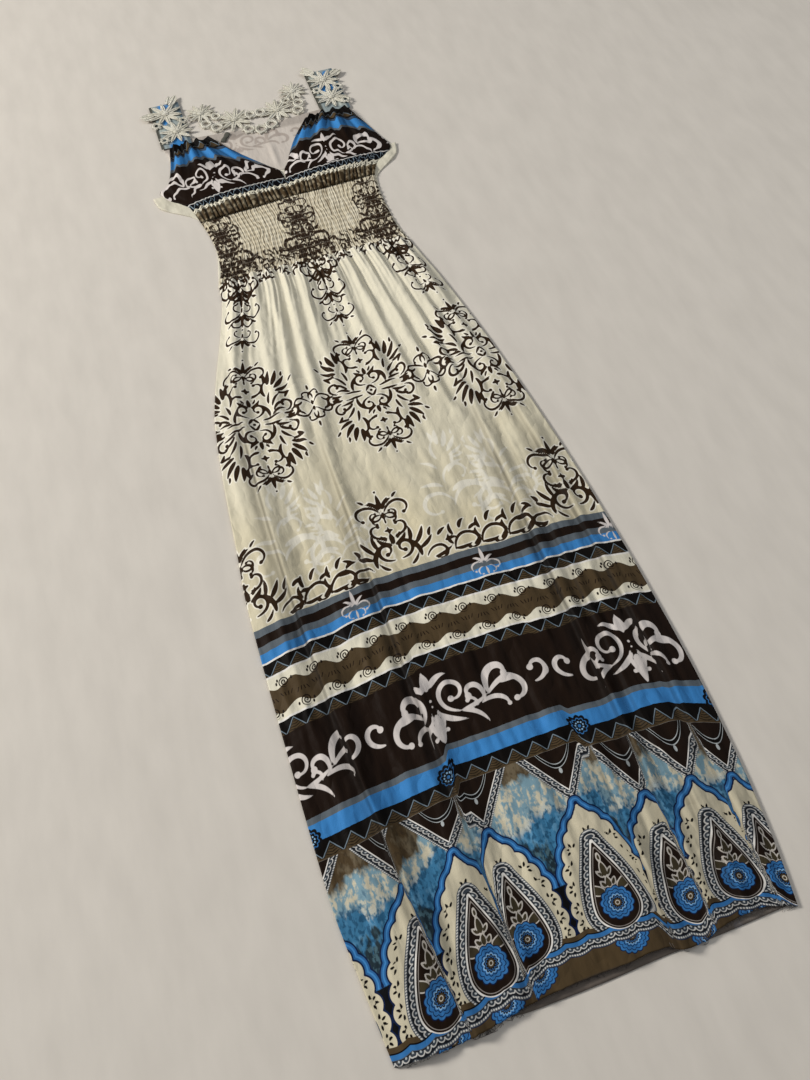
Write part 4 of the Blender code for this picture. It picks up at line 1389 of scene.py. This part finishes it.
def make_cup_piece(name, left_edge, right_edge, mirror):
    across, along = plan(CUP_ROWS, CUP_COLUMNS)
    (left_x, left_height), (right_x, right_height) = (
        (curve(edge, "along", "x")(along), curve(edge, "along", "height")(along))
        for edge in (left_edge, right_edge)
    )
    x = left_x + (right_x - left_x) * across
    height = left_height + (right_height - left_height) * across
    height = np.maximum(height, waist_top(x) + SEAM_GAP)
    edge = np.minimum(across, 1 - across)
    rolled = 0.0008 * (1 - smooth_step(edge / 0.02))
    high = FRONT_LEVEL + CLOTH + cup_rise(across, along, mirror) - rolled
    middle = CUP_MIDDLE if mirror else -CUP_MIDDLE
    arched = height + 0.016 * ((x - middle) / 0.06) ** 2
    pulled = smooth_step((along - 0.15) / 0.35)
    jag = 5.0 * noise(across, along, 0.045, 0.5, 76) + 4.0 * noise(across, along, 0.11, 0.6, 78)
    jag = jag * pulled
    turn = 2 * np.pi * pleat_place(across, along)
    over_seam = (height - waist_top(x)) * 1000
    ruffle = 1.8 * np.sin(turn) + 2.2 * noise(across, along, 0.04, 0.2, 77)
    over_seam = over_seam + ruffle * bell(over_seam - 27, 13)
    aside = 14 if mirror else -22
    u = (x - middle) * 1230 - 52 + aside + 4.0 * noise(across, along, 0.05, 0.4, 79)
    v = (height - CUP_SCROLLS) * 1020 + SCROLL_MIDDLE + 0.8 * jag
    fields = {
        "arched": arched * 1000 + jag,
        "over_seam": over_seam,
        "white": scroll_band.at(u, v),
        "print_u": u,
        # Mask for painted shade in the folds of the ruched strip
        "pleat": 0.5 - 0.5 * np.cos(turn),
        # Mask for painted shade between the gathers that run down from the strap
        "gather_shade": (1 - strap_gathers(across, along)) ** 3 * smooth_step((along - 0.35) / 0.4),
    }
    return thin_shell(name, x, height, FRONT_LEVEL + 0 * x, high, fields)


def make_cup_material():
    cloth = Finish("cup print", BROWN, roughness=0.62, sheen=0.0, specular=0.05)
    arched, seam, u = cloth.field("arched"), cloth.field("over_seam"), cloth.field("print_u")
    arched = arched + (cloth.noise(70.0) - 0.5) * 5.0
    scroll = cloth.field("white").below(-0.5, 0.5)
    cloth.lay(scroll * arched.below(1154.0) * seam.above(NAVY_TOP), SCROLL)
    stripes = [(1158.0, 1163.0, GREY), (1163.0, 1181.0, BLUE), (1181.0, 1186.0, "34465A")]
    for low, high, colour in stripes:
        cloth.lay(arched.within(low, high), colour)
    cloth.lay(arched.above(1186.0), DARK)
    peak = abs(u.wrapped(TRIANGLE_REPEAT)) * (TRIANGLE_REACH / TRIANGLE_REPEAT)
    side = arched - CUP_TRIANGLES + peak - 11.6
    lay = cloth.over(arched.above(CUP_TRIANGLES))
    lay(side.below(-1.0), TAUPE)
    lay(abs(side).below(0.6), EDGING, 0.7)
    cloth.lay(seam.below(NAVY_TOP), NAVY)
    cloth.lay(seam.within(40.0, 41.4), WHITE, 0.8)
    zig = abs(u.wrapped(12.0)) - (seam - 29.0) * 0.5
    cloth.lay(abs(zig).below(0.5) * seam.within(29.5, 39.5), EDGING, 0.8)
    cloth.lay(seam.below(28.5), CREAM)
    cloth.lay(abs(u.wrapped(6.0)).below(1.3) * seam.within(22.5, 25.5), DARK, 0.8)
    cloth.lay(seam.below(20.5), TAUPE)
    cloth.lay(cloth.noise(120.0, (1.5, 1, 1), 3.0).above(0.54, 0.12) * seam.below(20.0), "A0947A", 0.7)
    # Painted shade in the folds of the ruched strip
    cloth.paint_shade(cloth.field("pleat").below(0.24, 0.3) * seam.below(26.0, 6.0), 0.8)
    # Painted shade between the gathers that run down from the strap
    cloth.paint_shade(cloth.field("gather_shade").above(0.5, 0.9), 0.6)
    return cloth.finish(cloth.cloth_bumps())


# Straps and the folded neck edge
def make_strap_piece(name, middle):
    """A strap folded over at the shoulder, with a soft pleat along it."""
    half_gap = STRAP_LAYER_GAP / 2
    centre_z = CLOTH + half_gap
    turn = SHOULDER - CLOTH - half_gap
    path = [(h, 0.0003) for h in np.linspace(BACK_STRAP_BASE, turn, 18)]
    for angle in np.linspace(-math.pi / 2, math.pi / 2, 9)[1:-1]:
        path.append((turn + centre_z * math.cos(angle), centre_z + centre_z * math.sin(angle)))
    first_upper = len(path) + 2
    path += [(h, 2 * centre_z) for h in np.linspace(turn, STRAP_BASE, 60)]
    across, along = plan(len(path), 49)
    height = np.array([spot[0] for spot in path])[:, None] + 0 * across
    z = np.array([spot[1] for spot in path])[:, None] + 0 * across
    upper = (np.arange(len(path)) >= first_upper)[:, None]
    ripple = 0.0003 * np.sin(across * 2 * np.pi * 3.5 + 20 * height)
    x = middle + (across - 0.5) * (STRAP_WIDTH - 0.0004)
    z = z - upper * np.abs(ripple)
    return make_grid(name, *place(x, height, z), {"across": across}, flip=True)


def make_strap_material():
    cloth = Finish("strap print", "8F9A9A", roughness=0.6, sheen=0.0, specular=0.08)
    across = cloth.field("across")
    patch = cloth.noise(26.0, (1, 0.8, 1), 2.0)
    cloth.lay(patch.above(0.56, 0.06) * across.within(0.30, 0.80, 0.1), BLUE)
    cloth.lay(patch.below(0.40, 0.06), "B9BEB4", 0.8)
    cloth.lay(across.below(0.10, 0.05), "57574F")
    cloth.lay(across.above(0.90, 0.05), "5C6B73")
    return cloth.finish(cloth.cloth_bumps())


def make_neck_edge_piece():
    start, end = np.array(NECK_EDGE_START), np.array(NECK_EDGE_END)
    along = (end - start) / np.linalg.norm(end - start)
    aside = np.array((along[1], -along[0]))
    t = np.linspace(0, 1, 25)[:, None] + np.zeros((1, 13))
    s = np.linspace(-1, 1, 13)[None, :] + np.zeros((25, 1))
    width = NECK_EDGE_WIDTH / 2 * (1 + 0.12 * np.sin(9 * t))
    x = start[0] + (end[0] - start[0]) * t + aside[0] * width * s
    height = start[1] + (end[1] - start[1]) * t + aside[1] * width * s
    high = FRONT_LEVEL + CLOTH + 0.0012 * (1 - s * s) * (0.6 + 0.4 * np.sin(7 * t))
    return thin_shell("left_neck_edge_cloth", x, height, FRONT_LEVEL + 0 * x, high)


# Lace
FLOWER_RINGS = ((0.0042, 0.0008, 0.0019), (0.0026, 0.0008, 0.0023), (0.0010, 0.0010, 0.0025))


def spot_on_dress(spot):
    return spot[0], spot[1] - HALF_LENGTH


class Lacework:
    """Corded lace: petals, cords and knots gathered into one mesh."""

    def __init__(self, level):
        self.level = level
        self.points = []
        self.faces = []

    def add(self, points, faces):
        base = len(self.points)
        self.points += [tuple(point) for point in points]
        self.faces += [tuple(base + k for k in face) for face in faces]

    def cord(self, path, radius, closed=False, sides=6):
        """A round thread along a path of points."""
        path = np.array(path, float)
        count = len(path)
        if closed:
            ahead = np.roll(path, -1, 0) - np.roll(path, 1, 0)
        else:
            ahead = np.gradient(path, axis=0)
        ahead /= np.linalg.norm(ahead, axis=1)[:, None] + 1e-12
        aside = np.cross(ahead, (0, 0, 1.0))
        aside /= np.linalg.norm(aside, axis=1)[:, None] + 1e-12
        above = np.cross(aside, ahead)
        points = []
        for k in range(count):
            for turn in range(sides):
                angle = 2 * math.pi * turn / sides
                outward = aside[k] * math.cos(angle) + above[k] * math.sin(angle)
                points.append(path[k] + radius * outward)
        faces = []
        for k in range(count if closed else count - 1):
            j = (k + 1) % count
            for turn in range(sides):
                other = (turn + 1) % sides
                faces.append((k * sides + turn, j * sides + turn, j * sides + other, k * sides + other))
        if not closed:
            faces.append(tuple(range(sides)))
            faces.append(tuple((count - 1) * sides + turn for turn in reversed(range(sides))))
        self.add(points, faces)

    def petal(self, centre, angle, inner, outer, half_width, lift):
        """A pointed petal of packed threads with a raised cord round it."""
        along = np.array((math.cos(angle), math.sin(angle)))
        aside = np.array((-along[1], along[0]))
        rows, columns = 9, 7
        points = []
        for i in range(rows):
            t = i / (rows - 1)
            width = half_width * math.sin(math.pi * min(0.06 + 0.94 * t**0.85, 1.0)) ** 0.75
            for j in range(columns):
                s = 2 * j / (columns - 1) - 1
                reach = inner + (outer - inner) * t
                ridge = 0.00022 * (j % 2) + 0.0004 * (1 - s * s)
                spot = np.array(centre) + along * reach + aside * s * width
                points.append((*spot_on_dress(spot), self.level + 0.0008 + ridge + lift * t))
        faces = []
        for i in range(rows - 1):
            for j in range(columns - 1):
                a = i * columns + j
                faces.append((a, a + 1, a + columns + 1, a + columns))
        self.add(points, faces)
        rim = [points[i * columns] for i in range(rows)]
        rim += [points[i * columns + columns - 1] for i in reversed(range(rows - 1))]
        rim = [(p[0], p[1], p[2] + 0.0002) for p in rim]
        self.cord(rim, 0.00050)
        vein = [points[i * columns + columns // 2] for i in range(rows - 1)]
        self.cord([(p[0], p[1], p[2] + 0.0003) for p in vein], 0.00040)

    def ring(self, x, height, radius, thickness, rise=0.0009, wobble=0.0, turns=20):
        path = []
        for k in range(turns):
            angle = 2 * math.pi * k / turns
            reach = radius * (1 + wobble * math.cos(3 * angle))
            spot = (x + reach * math.cos(angle), height + reach * math.sin(angle))
            path.append((*spot_on_dress(spot), self.level + rise))
        self.cord(path, thickness, closed=True)

    def flower(self, flower, number):
        rng = np.random.default_rng(100 + number)
        for petal in range(PETALS):
            angle = 2 * math.pi * (petal + flower.turn) / PETALS + math.pi / 2
            angle += rng.uniform(-0.05, 0.05)
            outer = flower.radius * rng.uniform(0.93, 1.0)
            width = flower.radius * 0.112 * rng.uniform(0.9, 1.1)
            lift = rng.uniform(0.0, 0.0010)
            self.petal((flower.x, flower.height), angle, flower.radius * 0.16, outer, width, lift)
        for radius, thickness, rise in FLOWER_RINGS:
            self.ring(flower.x, flower.height, radius, thickness, rise)

    def link(self, ring, number):
        """An open ring of cord with a smaller loop inside and picots outside."""
        middle = (ring.radius + ring.hole) / 2
        self.ring(ring.x, ring.height, middle, (ring.radius - ring.hole) * 0.32, wobble=0.05)
        self.ring(ring.x, ring.height, ring.hole * 0.95, 0.0005, 0.0012)
        for k in range(7):
            angle = 2 * math.pi * (k + 0.3 * number) / 7
            spot = (ring.x + ring.radius * math.cos(angle), ring.height + ring.radius * math.sin(angle))
            self.ring(spot[0], spot[1], 0.0013, 0.0005, 0.0010, turns=8)

    def leaf(self, leaf):
        root = np.array((leaf.x, leaf.height))
        tip = np.array((leaf.tip_x, leaf.tip_height))
        way = tip - root
        length = float(np.linalg.norm(way))
        angle = math.atan2(way[1], way[0])
        self.petal(tuple(root), angle, length * 0.45, length, leaf.half_width * 0.9, 0.0)
        self.petal(tuple(root), angle + 0.22, length * 0.5, length * 0.92, leaf.half_width * 0.6, 0.0)

    def finish(self, name):
        return join_mesh(name, self.points, self.faces)


def make_lace_material():
    thread = Finish("lace thread", LACE, roughness=0.72, sheen=0.05, specular=0.2)
    thread.lay(thread.noise(180.0, detail=3.0).above(0.5, 0.4), "BDB59C", 0.4)
    thread.lay(thread.noise(30.0, detail=2.0).above(0.55, 0.3), "F0EDE2", 0.5)
    wound = thread.texture("ShaderNodeTexWave", 420.0, (1, 1, 1), 1, Distortion=2.0)
    return thread.finish([(wound, 0.00025), (thread.noise(900.0), 0.0001)])


def make_lace(name, node, level, flowers, rings, leaves):
    lace = Lacework(level)
    for number, flower in enumerate(flowers):
        lace.flower(flower, number)
    for number, ring in enumerate(rings):
        lace.link(ring, number)
    for leaf_row in leaves:
        lace.leaf(leaf_row)
    return settle(lace.finish(name), lace_material, "lace", node)


# Threads of the cut hem
LOOSE_THREADS = 90
FOLD_THREADS = 24


def make_hem_threads():
    """Overlock stitches along the front hem and loose threads that stand out of them."""
    work = Lacework(0.0)
    rng = np.random.default_rng(88)
    for x in np.linspace(-0.190, 0.185, 190):
        height = float(front_hem(x))
        slant = rng.uniform(-0.001, 0.001)
        z = 0.0034 + float(np.interp(abs(x), (0, 0.18, 0.19), (0.0016, 0.0012, 0.0)))
        path = [
            (x - 0.0008, height - HALF_LENGTH + 0.0042, z),
            (x + slant, height - HALF_LENGTH + 0.0004, z),
            (x + 0.0009, height - HALF_LENGTH - 0.0006, z - 0.0018),
        ]
        work.cord(path, 0.00022, sides=3)
    for k in range(LOOSE_THREADS):
        by_fold = k < FOLD_THREADS
        x = -0.111 + rng.normal() * 0.006 if by_fold else rng.uniform(-0.188, 0.186)
        height = float(front_hem(x))
        length = rng.uniform(0.004, 0.010 if by_fold else 0.006)
        angle = -math.pi / 2 + rng.uniform(-0.9, 0.9)
        path = []
        for step in np.linspace(0, 1, 5):
            bend = 0.002 * math.sin(3 * step + k)
            aside = x + step * length * math.cos(angle) + bend
            down = max(height + step * length * math.sin(angle), 0.0004)
            path.append((aside, down - HALF_LENGTH, 0.0022 - 0.0016 * step))
        work.cord(path, 0.00018, sides=3)
    return work.finish("hem_threads")


def make_thread_material():
    thread = Finish("hem thread", "4B4440", roughness=0.7, sheen=0.2, specular=0.3)
    thread.lay(thread.noise(500.0).above(0.5, 0.3), "7A7068", 0.7)
    return thread.finish([(thread.noise(1500.0), 0.00005)])


# Floor, light and camera
FLOOR_SIZE = 12


def make_floor():
    bpy.ops.mesh.primitive_plane_add(size=FLOOR_SIZE, location=(0, 0, -0.0001))
    floor = bpy.context.active_object
    floor.name = "floor"
    stone = Finish("pale floor", "D5CEC3", roughness=0.6, sheen=0.0, specular=0.2)
    stone.lay(stone.noise(3.0, detail=3.0).above(0.5, 0.5), "DAD4CA", 0.12)
    floor.data.materials.append(stone.finish([]))


def add_area(name, location, target, size, power, colour):
    data = bpy.data.lights.new(name, "AREA")
    data.shape = "RECTANGLE"
    data.size, data.size_y = size
    data.energy = power
    data.color = colour
    lamp = bpy.data.objects.new(name, data)
    lamp.location = location
    lamp.rotation_euler = (Vector(target) - Vector(location)).to_track_quat("-Z", "Y").to_euler()
    bpy.context.scene.collection.objects.link(lamp)


def make_light():
    add_area("key", (-3.6, 1.7, 2.3), (0, 0, 0), (1.0, 1.0), 224, (1.0, 0.975, 0.94))
    add_area("fill", (1.7, 0.2, 2.4), (0.1, -0.1, 0), (2.2, 2.2), 21, (0.95, 0.97, 1.0))
    world = bpy.data.worlds.new("soft room")
    world.use_nodes = True
    sky = world.node_tree.nodes["Background"]
    sky.inputs[0].default_value = (0.93, 0.95, 1.0, 1.0)
    sky.inputs[1].default_value = 0.20
    bpy.context.scene.world = world
    bpy.context.scene.view_settings.view_transform = "Standard"


CAMERA_PLACE = (-0.15647, -0.59248, 0.81006)
CAMERA_RIGHT = (0.9439, -0.3301, -0.0062)
CAMERA_DOWN = (-0.2953, -0.8360, -0.4626)
CAMERA_FORWARD = (0.1475, 0.4384, -0.8866)
FOCAL_PIXELS = 817.04
PHOTO_HEIGHT = 1080
SENSOR = 36.0


def make_camera():
    data = bpy.data.cameras.new("camera")
    data.sensor_width = SENSOR
    data.lens = SENSOR * FOCAL_PIXELS / PHOTO_HEIGHT
    camera = bpy.data.objects.new("camera", data)
    axes = [CAMERA_RIGHT, tuple(-k for k in CAMERA_DOWN), tuple(-k for k in CAMERA_FORWARD)]
    turn = Matrix([[axes[c][r] for c in range(3)] for r in range(3)]).to_4x4()
    camera.matrix_world = Matrix.Translation(CAMERA_PLACE) @ turn
    bpy.context.scene.collection.objects.link(camera)
    bpy.context.scene.camera = camera


make_camera()
make_floor()
make_light()

skirt_material = make_skirt_material()
lace_material = make_lace_material()
cup_material = make_cup_material()
strap_material = make_strap_material()

upper = make_front_stretch("front_skirt_upper", BORDER_TOP, SKIRT_TOP, UPPER_ROWS, False)
settle(upper, skirt_material, "skirt_cloth", "skirt_front")
border = make_front_stretch("front_skirt_border", 0.0, BORDER_TOP, BORDER_ROWS, True)
settle(border, skirt_material, "skirt_cloth", "skirt_front")
back = make_skirt_back_piece()
settle(back, make_back_material(), "skirt_cloth", "skirt_back")
threads = settle(make_hem_threads(), make_thread_material(), "skirt_cloth")

waist = settle(make_waist_front_piece(), make_smock_material(), "waist_cloth", "waist_front")
waist_behind = settle(make_waist_back_piece(), make_wing_material(), "waist_cloth", "waist_back")
bodice = settle(make_bodice_back_piece(), make_wrong_material(), "bodice_cloth", "bodice_back")
cup_left = make_cup_piece("left_cup_cloth", LEFT_CUP_OUTER, LEFT_CUP_INNER, False)
settle(cup_left, cup_material, "bodice_cloth", "cup_left")
cup_right = make_cup_piece("right_cup_cloth", RIGHT_CUP_INNER, RIGHT_CUP_OUTER, True)
settle(cup_right, cup_material, "bodice_cloth", "cup_right")
neck_edge = settle(make_neck_edge_piece(), strap_material, "strap_cloth", "neck_edge_left")
strap_left = make_strap_piece("left_strap_cloth", -STRAP_MIDDLE)
settle(strap_left, strap_material, "strap_cloth", "strap_left")
strap_right = make_strap_piece("right_strap_cloth", STRAP_MIDDLE)
settle(strap_right, strap_material, "strap_cloth", "strap_right")

strap_top = 2 * CLOTH + STRAP_LAYER_GAP + SEAM_GAP
left_work = (LEFT_FLOWERS, LEFT_RINGS, LEFT_LEAVES)
right_work = (RIGHT_FLOWERS, RIGHT_RINGS, RIGHT_LEAVES)
lace_neck = make_lace("neck_lace", "lace_neck_back", FRONT_LEVEL, NECK_FLOWERS, NECK_RINGS, [])
lace_left = make_lace("left_strap_lace", "lace_strap_left", strap_top, *left_work)
lace_right = make_lace("right_strap_lace", "lace_strap_right", strap_top, *right_work)
